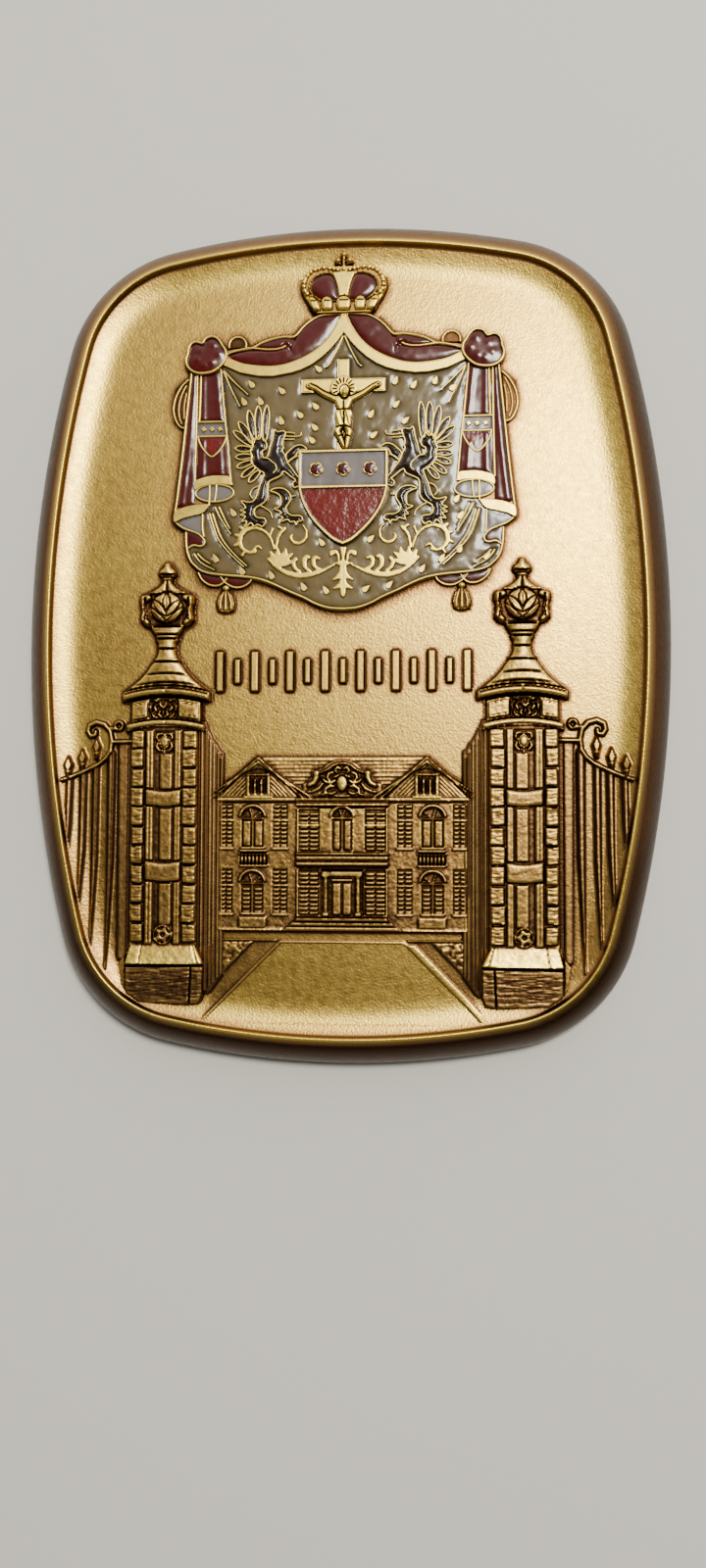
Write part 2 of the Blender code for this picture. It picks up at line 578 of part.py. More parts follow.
# The mansion behind the gate, two storeys with gabled wings and a middle bay
WING_OUTER = 13.3
GABLE_AXIS = 9.0
GABLE_HALF = 4.35
EAVES = -17.5
RIDGE = -13.0
GROUND_LINE = -31.6
MIDDLE_HALF = 4.9
WINDOW_DEPTH = 0.17
UPPER = (-22.8, -18.0)
LOWER = (-29.8, -25.0)
SHUTTERS = ((5.9, 7.4), (11.7, 13.1))
ARCHED = (8.5, 10.8)
MIDDLE_SHUTTERS = (2.4, 4.6)
PEDIMENT = (
    (0, -13.4), (1.0, -13.6), (1.9, -14.3), (3.2, -14.6), (3.3, -15.2), (3.9, -15.9), (4.1, -17.4),
    (0, -17.4),
)
MIDDLE_CORNICE = box(-5.1, -18.2, 5.1, -17.35)
STRING_COURSE = box(-4.95, -24.75, 4.95, -24.3)
CARTOUCHE = (0, -15.9, 0.7, 0.95, 8)
STEPS = ((0, -30.1), (5.3, -30.1), (6.8, -31.75), (0, -31.75))
DORMER = box(8.0, -17.1, 10.1, -14.9)
BALCONY = box(8.3, -24.7, 11.0, -23.05)
DRIVE = ((0, -32.7), (6.4, -32.7), (13.9, -40.2), (0, -40.2))
KERB = ((6.5, -32.5), (6.9, -32.5), (14.5, -40.1), (14.1, -40.1))
GRAVEL = ((9.6, -32.7), (12.7, -32.7), (12.7, -36.0))


def arched_opening(left, bottom, right, top):
    half = (right - left) / 2
    crown_points = arc((left + right) / 2, top - half, half, half, 0, 180, 4)
    return [(left, bottom), (right, bottom), *crown_points]


def mansion():
    plate("walls", box(-WING_OUTER, GROUND_LINE, WING_OUTER, EAVES), ROOT, MANSION_WALL, RELIEF)
    roof = [(-WING_OUTER, EAVES - 0.1), (WING_OUTER, EAVES - 0.1), (GABLE_AXIS, RIDGE), (-GABLE_AXIS, RIDGE)]
    plate("roof", roof, ROOT, MANSION_WALL - 0.04, RELIEF)
    middle = box(-MIDDLE_HALF, GROUND_LINE + 1.4, MIDDLE_HALF, EAVES)
    plate("middle bay", middle, ROOT, MANSION_WALL + 0.12, RELIEF)
    plate("middle cornice", MIDDLE_CORNICE, ROOT, MANSION_WALL + 0.3, RELIEF)
    plate("string course", STRING_COURSE, ROOT, MANSION_WALL + 0.26, RELIEF)
    plate("pediment", both_halves(PEDIMENT), ROOT, MANSION_WALL + 0.34, RELIEF)
    plate("cartouche", oval(*CARTOUCHE), ROOT, MANSION_WALL + 0.5, RELIEF)
    plate("steps", both_halves(STEPS), ROOT, MANSION_WALL + 0.2, RELIEF)
    for (low, high), lower_by in ((UPPER, 0.6), (LOWER, 1.5)):
        middle_opening = arched_opening(-1.0, low, 1.0, high - lower_by)
        plate("middle opening", middle_opening, MANSION_WALL - 0.05, RIM_CREST, OPENINGS)
        for _, side in SIDES:
            for left, right in SHUTTERS:
                shutter = on_side(side, box(left, low, right, high))
                plate("shutter", shutter, MANSION_WALL - WINDOW_DEPTH, RIM_CREST, OPENINGS)
            left, right = MIDDLE_SHUTTERS
            shutter = on_side(side, box(left, low - 0.2, right, high - 0.6))
            plate("middle shutter", shutter, MANSION_WALL - 0.05, RIM_CREST, OPENINGS)
            left, right = ARCHED
            window = on_side(side, arched_opening(left, low, right, high - 0.4))
            plate("arched window", window, MANSION_WALL - WINDOW_DEPTH, RIM_CREST, OPENINGS)
    gable = [(GABLE_AXIS - GABLE_HALF, EAVES), (GABLE_AXIS + GABLE_HALF, EAVES), (GABLE_AXIS, RIDGE - 0.1)]
    for _, side in SIDES:
        plate("gable", on_side(side, gable), ROOT, MANSION_WALL + 0.15, RELIEF)
        plate("dormer", on_side(side, DORMER), ROOT, MANSION_WALL + 0.28, RELIEF)
        plate("balcony", on_side(side, BALCONY), ROOT, MANSION_WALL + 0.2, RELIEF)


def forecourt():
    """The sunk driveway between low kerbs, with a strip of gravel on each side."""
    plate("driveway", both_halves(DRIVE), DRIVE_FLOOR, RIM_CREST, OPENINGS)
    for _, side in SIDES:
        plate("kerb", on_side(side, KERB), ROOT, KERB_TOP, RELIEF)
        plate("gravel", on_side(side, GRAVEL), ROOT, GRAVEL_TOP, RELIEF)


STROKE_PITCH = 1.9
STROKE_PAIRS = 7
STROKE_MIDDLE = -3.8
TALL_STROKE = (0.34, 2.2)
SHORT_STROKE = (0.24, 1.3)


def strokes():
    """One row of upright strokes, tall and short in turn, where a title would stand."""
    for index in range(-STROKE_PAIRS, STROKE_PAIRS + 1):
        half, reach = SHORT_STROKE if index % 2 == 0 else TALL_STROKE
        x = index * STROKE_PITCH
        stroke = box(x - half, STROKE_MIDDLE - reach, x + half, STROKE_MIDDLE + reach)
        plate("stroke", stroke, ROOT, STROKE_TOP, RELIEF)


clear_scene()
BRONZE = finish("bronze", (0.62, 0.42, 0.16), 1.0, 0.36)
RED = finish("red enamel", (0.16, 0.015, 0.015), 0.0, 0.18)
GREY = finish("grey enamel", (0.26, 0.24, 0.25), 0.0, 0.2)
OLIVE = finish("olive enamel", (0.2, 0.17, 0.08), 0.0, 0.2)
BLACK = finish("black enamel", (0.03, 0.012, 0.01), 0.0, 0.2)
PARTS = collection("bronze plaquette")
RELIEF = collection("relief")
OPENINGS = collection("openings")
CLEARANCE = collection("clearance")
SIDES = (("right", 1), ("left", -1))

blank = slab()
cloth = mantle()
crown()
shield_and_cross()
scrolls()
for hand_word, hand in SIDES:
    griffin(hand_word, hand)
    pier(hand)
    gate(hand)
mansion()
forecourt()
strokes()
join(cloth, "DIFFERENCE", CLEARANCE)
join(blank, "UNION", RELIEF)
join(blank, "DIFFERENCE", OPENINGS)
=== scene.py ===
"""The looks of the struck bronze plaquette: its relief, its patina and its cold enamel."""

import math

import bpy
import numpy as np
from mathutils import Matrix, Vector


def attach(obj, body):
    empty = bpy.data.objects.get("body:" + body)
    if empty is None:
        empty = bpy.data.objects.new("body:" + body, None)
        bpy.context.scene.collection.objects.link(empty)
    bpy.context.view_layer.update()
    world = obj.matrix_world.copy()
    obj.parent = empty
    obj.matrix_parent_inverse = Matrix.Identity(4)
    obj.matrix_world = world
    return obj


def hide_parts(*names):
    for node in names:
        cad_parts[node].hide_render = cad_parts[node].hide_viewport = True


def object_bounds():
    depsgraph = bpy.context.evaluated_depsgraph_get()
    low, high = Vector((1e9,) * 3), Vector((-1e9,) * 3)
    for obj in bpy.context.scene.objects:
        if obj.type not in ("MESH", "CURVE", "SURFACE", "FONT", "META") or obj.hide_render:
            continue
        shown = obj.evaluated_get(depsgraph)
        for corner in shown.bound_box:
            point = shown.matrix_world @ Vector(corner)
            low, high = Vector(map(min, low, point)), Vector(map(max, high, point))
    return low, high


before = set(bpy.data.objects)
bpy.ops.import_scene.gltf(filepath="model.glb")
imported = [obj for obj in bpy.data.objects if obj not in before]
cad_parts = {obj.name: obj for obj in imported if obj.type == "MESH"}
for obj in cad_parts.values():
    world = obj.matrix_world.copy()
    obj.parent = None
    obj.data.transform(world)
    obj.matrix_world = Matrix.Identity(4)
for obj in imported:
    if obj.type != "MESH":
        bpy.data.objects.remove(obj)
cad_low, cad_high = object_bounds()


# The blank is one plate of bronze, struck in a press, with a rounded rim and a sand-blasted field.
# It was gilded, then darkened with a brown patina that was rubbed off everything that stands high.
# The colour also holds painted shade in the hollows and at the foot of walls.
MM = 0.001
HALF_WIDTH = cad_high.x / MM
HALF_HEIGHT = cad_high.y / MM
CREST = cad_high.z / MM
SIDE_RADIUS = 131.9
END_RADIUS = 91.8
CORNER_RADIUS = 15.4
FIELD = 3.7
GROUND = FIELD + 0.008
# Each row gives inset, height and tone. The tone is brown patina on the outer slope, rubbed bright on the
# crest, and painted shade on the inner wall below the crest.
RIM_PROFILE = (
    (0.0, 0.5, 0.85), (0.0, 1.1, 0.82), (0.02, 1.7, 0.78), (0.2, 2.2, 0.74), (0.42, 2.62, 0.68),
    (0.7, 3.08, 0.62), (1.0, 3.5, 0.57), (1.35, 3.9, 0.52), (1.7, 4.24, 0.48), (2.05, 4.52, 0.43),
    (2.4, 4.74, 0.36), (2.62, 4.86, 0.2), (2.76, 4.95, -0.1), (2.86, CREST, -0.25),
    (2.95, CREST, -0.25), (3.02, 4.95, 0.0), (3.08, 4.8, 0.25), (3.16, 4.5, 0.4), (3.22, 4.38, 0.45),
    (3.3, 4.32, 0.3), (3.45, 4.28, 0.12), (3.85, 4.17, 0.0), (4.3, 4.03, -0.06), (4.8, 3.895, -0.08),
    (5.3, 3.795, -0.08), (5.9, 3.73, -0.05), (6.7, FIELD, 0.0), (8.2, FIELD, 0.0), (9.6, FIELD, 0.0),
    (11.0, FIELD, 0.0), (12.4, FIELD, 0.0),
)
FIELD_RINGS = 22
OUTER_RINGS = 12
GOLD_RAMP = (
    (0.0, (0.85, 0.63, 0.12)), (0.25, (0.54, 0.325, 0.085)), (0.55, (0.25, 0.136, 0.05)),
    (0.8, (0.1, 0.049, 0.021)), (1.0, (0.04, 0.017, 0.006)),
)


def noise_node(tree, scale, detail):
    place = tree.nodes.get("Texture Coordinate") or tree.nodes.new("ShaderNodeTexCoord")
    made = tree.nodes.new("ShaderNodeTexNoise")
    made.inputs["Scale"].default_value = scale
    made.inputs["Detail"].default_value = detail
    tree.links.new(place.outputs["Object"], made.inputs["Vector"])
    return made.outputs["Fac"]


def spread_node(tree, source, low, high, to_low, to_high):
    made = tree.nodes.new("ShaderNodeMapRange")
    for socket, value in zip(("From Min", "From Max", "To Min", "To Max"), (low, high, to_low, to_high)):
        made.inputs[socket].default_value = value
    tree.links.new(source, made.inputs["Value"])
    return made.outputs["Result"]


def sum_node(tree, first, second, clamped=False):
    made = tree.nodes.new("ShaderNodeMath")
    made.operation = "ADD"
    made.use_clamp = clamped
    for socket, value in zip(made.inputs, (first, second)):
        if isinstance(value, float):
            socket.default_value = value
        else:
            tree.links.new(value, socket)
    return made.outputs["Value"]


def hollow_node(tree, reach, darkest):
    """How shut in a point is: 0 on open ground, and darkest in a narrow corner. It darkens colours as painted
    shade.
    """
    made = tree.nodes.new("ShaderNodeAmbientOcclusion")
    made.samples = 6
    made.inputs["Distance"].default_value = reach * MM
    return spread_node(tree, made.outputs["AO"], 0.93, 0.35, 0.0, darkest)


def bump_node(tree, source, depth):
    made = tree.nodes.new("ShaderNodeBump")
    made.inputs["Strength"].default_value = 1.0
    made.inputs["Distance"].default_value = depth * MM
    tree.links.new(source, made.inputs["Height"])
    tree.links.new(made.outputs["Normal"], tree.nodes["Principled BSDF"].inputs["Normal"])


def bronze(name, grain, worn, brown, smoothest=0.27, roughest=0.42):
    """Gilt bronze with brown patina and painted shade in its hollows: grain is the depth of the
    sand-blasting.
    """
    made = bpy.data.materials.new(name)
    made.use_nodes = True
    tree = made.node_tree
    shader = tree.nodes["Principled BSDF"]
    shader.inputs["Metallic"].default_value = 1.0
    patina_and_shade = tree.nodes.new("ShaderNodeAttribute")
    patina_and_shade.attribute_name = "patina_and_shade"
    cloud = spread_node(tree, noise_node(tree, 110.0, 3.0), 0.3, 0.7, -worn * 0.5, worn * 0.5)
    fleck = spread_node(tree, noise_node(tree, 2600.0, 3.0), 0.3, 0.7, -worn * 0.6, worn * 0.6)
    # Occlusion darkens the gold as the patina in the hollows and as painted shade in corners, both at once.
    tone = sum_node(tree, patina_and_shade.outputs["Fac"], hollow_node(tree, 0.8, 0.5))
    tone = sum_node(tree, sum_node(tree, tone, cloud), sum_node(tree, fleck, brown), clamped=True)
    ramp = tree.nodes.new("ShaderNodeValToRGB")
    for stop, (place, colour) in enumerate(GOLD_RAMP):
        point = ramp.color_ramp.elements[stop] if stop < 2 else ramp.color_ramp.elements.new(place)
        point.position = place
        point.color = (*colour, 1.0)
    tree.links.new(tone, ramp.inputs["Fac"])
    tree.links.new(ramp.outputs["Color"], shader.inputs["Base Color"])
    sheen = spread_node(tree, noise_node(tree, 1300.0, 3.0), 0.3, 0.7, smoothest, roughest)
    tree.links.new(sheen, shader.inputs["Roughness"])
    bump_node(tree, noise_node(tree, 4200.0, 2.5), grain)
    return made


def arc_points(centre, radius, start, end, steps):
    turns = np.linspace(start, end, steps)
    return np.stack([centre[0] + radius * np.cos(turns), centre[1] + radius * np.sin(turns)], axis=1)


def corner_of_blank():
    """Where the corner arc's centre stands, so that it meets the side's and the end's arc in line."""
    side_x, end_y = HALF_WIDTH - SIDE_RADIUS, HALF_HEIGHT - END_RADIUS
    side_reach, end_reach = SIDE_RADIUS - CORNER_RADIUS, END_RADIUS - CORNER_RADIUS
    apart = math.hypot(side_x, end_y)
    along = (side_reach**2 - end_reach**2 + apart**2) / (2 * apart)
    across = math.sqrt(side_reach**2 - along**2)
    x = side_x + (along * -side_x - across * end_y) / apart
    y = (along * end_y + across * -side_x) / apart
    return x, y, math.atan2(y, x - side_x), math.atan2(y - end_y, x)


def blank_ring(inset):
    """The blank's outline moved in by a distance, as three arcs a quarter."""
    corner_x, corner_y, low, high = corner_of_blank()
    quarter = np.concatenate([
        arc_points((HALF_WIDTH - SIDE_RADIUS, 0), SIDE_RADIUS - inset, 0, low, 40),
        arc_points((corner_x, corner_y), CORNER_RADIUS - inset, low, high, 48)[1:],
        arc_points((0, HALF_HEIGHT - END_RADIUS), END_RADIUS - inset, high, math.pi / 2, 34)[1:],
    ])
    half = np.concatenate([quarter, (quarter * (-1, 1))[-2::-1]])
    return np.concatenate([half, (half * (1, -1))[-2:0:-1]])


def settle(piece, slot, *nodes):
    """A finished piece rides on the one body and stands for its plain nodes; its slot is not used."""
    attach(piece, "root")
    if nodes:
        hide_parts(*nodes)


def mesh_piece(name, points, faces, finish):
    mesh = bpy.data.meshes.new(name)
    mesh.from_pydata(points.tolist(), [], faces)
    mesh.materials.append(finish)
    mesh.shade_smooth()
    mesh.set_sharp_from_angle(angle=math.radians(65))
    made = bpy.data.objects.new(name, mesh)
    bpy.context.scene.collection.objects.link(made)
    return made


def stained_and_shaded(piece, tones):
    """Lays the brown patina and the painted shade on a mesh, as one number at each of its points."""
    piece.data.attributes.new("patina_and_shade", "FLOAT", "POINT").data.foreach_set("value", tones.astype(np.float32))
    return piece


def blank():
    rings = [(blank_ring(0.55), 0.0, 0.6), (blank_ring(0.2), 0.12, 0.55)]
    rings += [(blank_ring(inset), height, tone) for inset, height, tone in RIM_PROFILE]
    last = blank_ring(RIM_PROFILE[-1][0])
    rings += [(last * (1 - step / FIELD_RINGS), FIELD, 0.0) for step in range(1, FIELD_RINGS)]
    count = len(last)
    points = [np.column_stack([ring, np.full(count, height)]) for ring, height, _ in rings]
    points.append([[0, 0, FIELD]])
    tones = np.append(np.repeat([tone for _, _, tone in rings], count), 0.0)
    outer = np.repeat([height > 0 and at < OUTER_RINGS for at, (_, height, _) in enumerate(rings)], count)
    outer = np.append(outer, False)
    place_x, place_y = np.concatenate(points)[:, :2].T
    # Painted shade: the outer slope of the rim is darkened towards the bottom end and on both flanks, where
    # it shows a dark reflection.
    near_end = np.clip((-20.0 - place_y) / 25.0, 0, 1)
    flanks = np.clip((np.abs(place_x) - 26.0) / 5.0, 0, 1)
    tones += 0.45 * outer * near_end + 0.2 * outer * flanks
    middle = count * len(rings)
    faces = [list(range(count))[::-1]]
    for lower in range(0, middle - count, count):
        for here in range(count):
            after = (here + 1) % count
            faces.append([lower + here, lower + after, lower + count + after, lower + count + here])
    inner = middle - count
    faces += [[inner + here, inner + (here + 1) % count, middle] for here in range(count)]
    return stained_and_shaded(mesh_piece("blank", np.concatenate(points) * MM, faces, FIELD_BRONZE), tones)


FIELD_BRONZE = bronze("sand-blasted bronze", 0.029, 0.05, 0.17, 0.3, 0.38)
RELIEF_BRONZE = bronze("relief bronze", 0.018, 0.06, 0.26, 0.32, 0.44)
LINE_BRONZE = bronze("rubbed bronze", 0.005, 0.05, 0.02, 0.3, 0.4)
# A dark brown bronze for the small recesses inside the cord's ring and loop.
DARK_BRONZE = bronze("dark brown bronze", 0.01, 0.08, 0.8)
settle(blank(), "bronze", "plaquette")


# The mansion is struck in low relief behind the gate: two storeys of shuttered windows under a
# shingled roof, with a gable on each wing and a middle bay under a curved pediment.
MANSION_BOX = (-13.9, -32.4, 13.9, -12.6)
MANSION_STEP = 0.1
WALL_TOP = 4.05
GROUND_LINE = -31.6
EAVES = -17.5
RIDGE = -13.05
WING_OUTER = 13.3
GABLE_AXIS = 9.0
BAY_HALF = 4.85
SLAT_PITCH = 0.46
SKIRT = 0.35
SHOWN_ABOVE = 0.02


def grid(box, step):
    left, bottom, right, top = box
    return np.meshgrid(np.arange(left, right + step, step), np.arange(bottom, top + step, step))


def in_box(x, y, left, bottom, right, top):
    """Distance outside a rectangle, negative inside it."""
    across = np.abs(x - (left + right) / 2) - (right - left) / 2
    up = np.abs(y - (bottom + top) / 2) - (top - bottom) / 2
    return np.hypot(np.maximum(across, 0), np.maximum(up, 0)) + np.minimum(np.maximum(across, up), 0)


def in_outline(x, y, outline):
    """Distance outside a closed outline, negative inside it."""
    nearest = np.full(x.shape, 1e9)
    within = np.zeros(x.shape, bool)
    for (ax, ay), (bx, by) in zip(outline, [*outline[1:], outline[0]]):
        dx, dy = bx - ax, by - ay
        along = np.clip(((x - ax) * dx + (y - ay) * dy) / (dx * dx + dy * dy), 0, 1)
        nearest = np.minimum(nearest, (x - ax - along * dx) ** 2 + (y - ay - along * dy) ** 2)
        if dy:
            within ^= ((ay > y) != (by > y)) & (x < ax + (y - ay) * dx / dy)
    return np.where(within, -1, 1) * np.sqrt(nearest)


def in_stroke(x, y, path):
    """Distance outside a stroke through (x, y, half width) points, negative inside it."""
    nearest = np.full(x.shape, 1e9)
    for (ax, ay, a_half), (bx, by, b_half) in zip(path, path[1:]):
        dx, dy = bx - ax, by - ay
        along = np.clip(((x - ax) * dx + (y - ay) * dy) / (dx * dx + dy * dy), 0, 1)
        away = np.hypot(x - ax - along * dx, y - ay - along * dy)
        nearest = np.minimum(nearest, away - a_half - along * (b_half - a_half))
    return nearest


def in_oval(x, y, centre_x, centre_y, radius_x, radius_y):
    away = np.hypot((x - centre_x) / radius_x, (y - centre_y) / radius_y)
    return (away - 1) * min(radius_x, radius_y)


def ramp(distance, wall):
    """1 inside a shape, 0 outside it, with a drafted wall between."""
    share = np.clip(0.5 - distance / wall, 0, 1)
    return share * share * (3 - 2 * share)


def swell(distance, width):
    """A rounded back: 0 at the edge of a shape and 1 from a width inside it."""
    share = np.clip(-distance / width, 0, 1)
    return np.sqrt(1 - (1 - share) ** 2)


def raised(z, distance, top, wall=0.14):
    return z + np.maximum(top - z, 0) * ramp(distance, wall)


def sunk(z, distance, bottom, wall=0.12):
    return z - np.maximum(z - bottom, 0) * ramp(distance, wall)


def domed(z, distance, edge_top, top, width):
    """A raised shape with a rounded back, from its edge up to its top."""
    z = raised(z, distance, edge_top)
    return np.maximum(z, np.where(distance < 0, edge_top + (top - edge_top) * swell(distance, width), z))


def blurred(z, cells):
    cells = max(1, round(cells))
    for axis in (0, 1):
        for _ in range(2):
            padded = np.pad(z, [(cells + 1, cells) if a == axis else (0, 0) for a in (0, 1)], mode="edge")
            total = np.cumsum(padded, axis=axis)
            span = 2 * cells + 1
            high = np.take(total, range(span, total.shape[axis]), axis=axis)
            low = np.take(total, range(0, total.shape[axis] - span), axis=axis)
            z = (high - low) / span
    return z


def mottle(x, y, size, seed):
    """Smooth random heights between about -1 and 1, with swellings of the given size."""
    across, up = x / size + 500, y / size + 500
    column, row = np.floor(across).astype(int), np.floor(up).astype(int)
    u, v = across - column, up - row
    u, v = u * u * (3 - 2 * u), v * v * (3 - 2 * v)
    table = np.random.default_rng(seed).uniform(-1, 1, (256, 256))
    low, high = (
        table[column % 256, line % 256] * (1 - u) + table[(column + 1) % 256, line % 256] * u
        for line in (row, row + 1)
    )
    return low * (1 - v) + high * v


def patina_and_shade_of(z, step):
    """Brown patina and painted shade in the hollows and on steep walls, and below nought where the relief was
    rubbed.
    """
    around = blurred(z, 0.35 / step)
    close = blurred(z, 0.15 / step)
    hollow = np.clip((around - z) / 0.24, -0.3, 0.55) + np.clip((close - z) / 0.09, -0.25, 0.5)
    up, across = np.gradient(z, step)
    wall = np.clip(np.hypot(up, across) / 2.0 - 0.1, 0, 0.6)
    return np.clip(hollow + wall, -0.3, 0.9)


def laid(tone, distance, value, wall):
    """The patina and painted shade with another strength laid inside a shape."""
    return tone + (value - tone) * ramp(distance, wall)


def field_height(x, y):
    """The blank's own surface, which rises towards the rim, and the distance in from its edge."""
    inside = -in_outline(x, y, [tuple(point) for point in blank_ring(0.0)[::2]])
    insets, heights, _ = zip(*RIM_PROFILE)
    return np.interp(inside, insets, heights) + GROUND - FIELD, inside


def relief(name, x, y, z, shown, finish, patina_and_shade, side=1, ground=GROUND):
    """A struck piece from heights on a grid: the cells that show, and a skirt down into the blank."""
    number = np.arange(x.size).reshape(x.shape)
    cells = shown[:-1, :-1] & shown[:-1, 1:] & shown[1:, 1:] & shown[1:, :-1]
    quads = np.stack([number[:-1, :-1], number[:-1, 1:], number[1:, 1:], number[1:, :-1]], axis=-1)[cells]
    if side < 0:
        quads = quads[:, ::-1]
    used, quads = np.unique(quads, return_inverse=True)
    quads = quads.reshape(-1, 4)
    points = np.stack([side * x, y, z], axis=-1).reshape(-1, 3)[used]
    sides = quads[:, [0, 1, 1, 2, 2, 3, 3, 0]].reshape(-1, 2)
    keys = np.sort(sides, axis=1) @ (len(used), 1)
    _, first, times = np.unique(keys, return_index=True, return_counts=True)
    border = sides[first[times == 1]]
    edge, feet = np.unique(border, return_inverse=True)
    feet = feet.reshape(-1, 2) + len(used)
    below = points[edge] - (0, 0, SKIRT)
    walls = np.column_stack([border[:, 1], border[:, 0], feet[:, 0], feet[:, 1]])
    faces = np.concatenate([quads, walls]).tolist()
    made = mesh_piece(name, np.concatenate([points, below]) * MM, faces, finish)
    made.data.materials.append(FIELD_BRONZE)
    rise = (z - ground).reshape(-1)[used]
    low = np.concatenate([rise, rise[edge]])[np.array(faces)].max(axis=1) < 0.03
    made.data.polygons.foreach_set("material_index", low.astype(np.int32))
    tone = patina_and_shade.reshape(-1)
    return stained_and_shaded(made, np.concatenate([tone[used], tone[used][edge]]))


def with_margin(z, step, margin=0.7):
    """The cells of a struck shape and of a strip of ground round it.

    Strips that overlap lie a few thousandths of a millimetre apart, by the lift of their piece.
    """
    return blurred((z > GROUND + SHOWN_ABOVE).astype(float), margin / step / 2) > 0.001


def louvres(z, x, y, left, bottom, right, top):
    """A pair of shutters: a sunk opening with two leaves of slats, each leaf in its frame."""
    z = sunk(z, in_box(x, y, left, bottom, right, top), WALL_TOP - 0.12)
    middle = (left + right) / 2
    for low_x, high_x in ((left + 0.08, middle - 0.08), (middle + 0.08, right - 0.08)):
        slat_y = bottom + 0.12
        while slat_y < top - 0.3:
            slat = in_box(x, y, low_x, slat_y, high_x, slat_y + SLAT_PITCH * 0.56)
            z = raised(z, slat, WALL_TOP + 0.05, 0.12)
            slat_y += SLAT_PITCH
    for rail in (bottom, top - 1.75):
        z = raised(z, in_box(x, y, left, rail - 0.07, right, rail + 0.07), WALL_TOP + 0.12, 0.1)
    return z


def arched_window(z, x, y, axis, half, bottom, top, slatted):
    """A round-headed window under a hood, with a fan of glazing bars over a transom."""
    spring = top - half
    opening = np.minimum(
        in_box(x, y, axis - half, bottom, axis + half, spring), in_oval(x, y, axis, spring, half, half),
    )
    away = np.hypot(x - axis, y - spring)
    hood = np.abs(away - half - 0.22) - 0.13
    hood = np.maximum(hood, spring + 0.15 - y)
    z = raised(z, hood, WALL_TOP + 0.2, 0.1)
    z = sunk(z, opening, WALL_TOP - 0.16)
    turn = np.arctan2(y - spring, x - axis)
    beyond = np.maximum(away - half + 0.1, spring - y)
    spokes = np.maximum(np.abs(np.sin(turn * 2.5)) * away / 2.5 - 0.07, beyond)
    z = raised(z, spokes, WALL_TOP, 0.1)
    z = raised(z, in_box(x, y, axis - half, spring - 0.12, axis + half, spring + 0.08), WALL_TOP + 0.14, 0.1)
    z = raised(z, in_box(x, y, axis - 0.11, bottom, axis + 0.11, spring), WALL_TOP + 0.06, 0.1)
    for hand in (-1, 1):
        pane = sorted((axis + hand * 0.24, axis + hand * (half - 0.12)))
        if slatted:
            slat_y = bottom + 0.1
            while slat_y < spring - 0.4:
                slat = in_box(x, y, pane[0], slat_y, pane[1], slat_y + 0.24)
                z = raised(z, slat, WALL_TOP + 0.02, 0.12)
                slat_y += 0.47
        else:
            z = raised(z, in_box(x, y, pane[0], bottom + 0.15, pane[1], spring - 0.3), WALL_TOP - 0.04, 0.16)
    sill = in_box(x, y, axis - half - 0.1, bottom - 0.12, axis + half + 0.1, bottom + 0.08)
    return raised(z, sill, WALL_TOP + 0.14, 0.1)


def gable(z, x, y):
    """The front of a wing's roof, with raking mouldings and a dormer between slanting shingles."""
    face = in_outline(x, y, [(4.55, EAVES), (13.45, EAVES), (GABLE_AXIS, RIDGE)])
    z = raised(z, face, WALL_TOP + 0.1, 0.12)
    slope = np.abs(x - GABLE_AXIS) + (y - RIDGE)
    hatching = 0.035 * np.sin(slope * 14) * ramp(face + 0.3, 0.3)
    z = z + hatching
    for outward, top in ((-0.12, 0.34), (-0.55, 0.24)):
        foot_x = 4.45 + outward
        for end in (GABLE_AXIS - foot_x - outward, foot_x - GABLE_AXIS + outward):
            rake = [(GABLE_AXIS, RIDGE + outward, 0.12), (GABLE_AXIS + end, EAVES + 0.1, 0.12)]
            z = raised(z, in_stroke(x, y, rake), WALL_TOP + top, 0.12)
    z = raised(z, in_box(x, y, 7.75, -17.15, 10.25, -14.85), WALL_TOP + 0.22, 0.1)
    z = sunk(z, in_oval(x, y, GABLE_AXIS, -14.85, 0.95, 0.6), WALL_TOP - 0.02)
    z = raised(z, in_box(x, y, 7.8, -15.05, 10.2, -14.85), WALL_TOP + 0.32, 0.1)
    for axis in (8.3, 9.0, 9.7):
        z = sunk(z, in_box(x, y, axis - 0.22, -17.0, axis + 0.22, -15.2), WALL_TOP - 0.08, 0.1)
        z = raised(z, in_box(x, y, axis - 0.07, -17.0, axis + 0.07, -15.2), WALL_TOP + 0.14, 0.08)
    return raised(z, in_box(x, y, 7.45, -17.5, 10.55, -17.2), WALL_TOP + 0.28, 0.1)


def balcony(z, x, y, bottom, top):
    z = sunk(z, in_box(x, y, 8.05, bottom, 10.95, top), WALL_TOP - 0.15)
    for axis in np.arange(8.3, 10.9, 0.4):
        baluster = in_oval(x, y, axis, (bottom + top) / 2 - 0.1, 0.13, (top - bottom) * 0.36)
        z = raised(z, baluster, WALL_TOP + 0.16, 0.1)
    for rail in (bottom + 0.1, top - 0.35, top):
        z = raised(z, in_box(x, y, 8.0, rail - 0.1, 11.0, rail + 0.08), WALL_TOP + 0.22, 0.1)
    return z


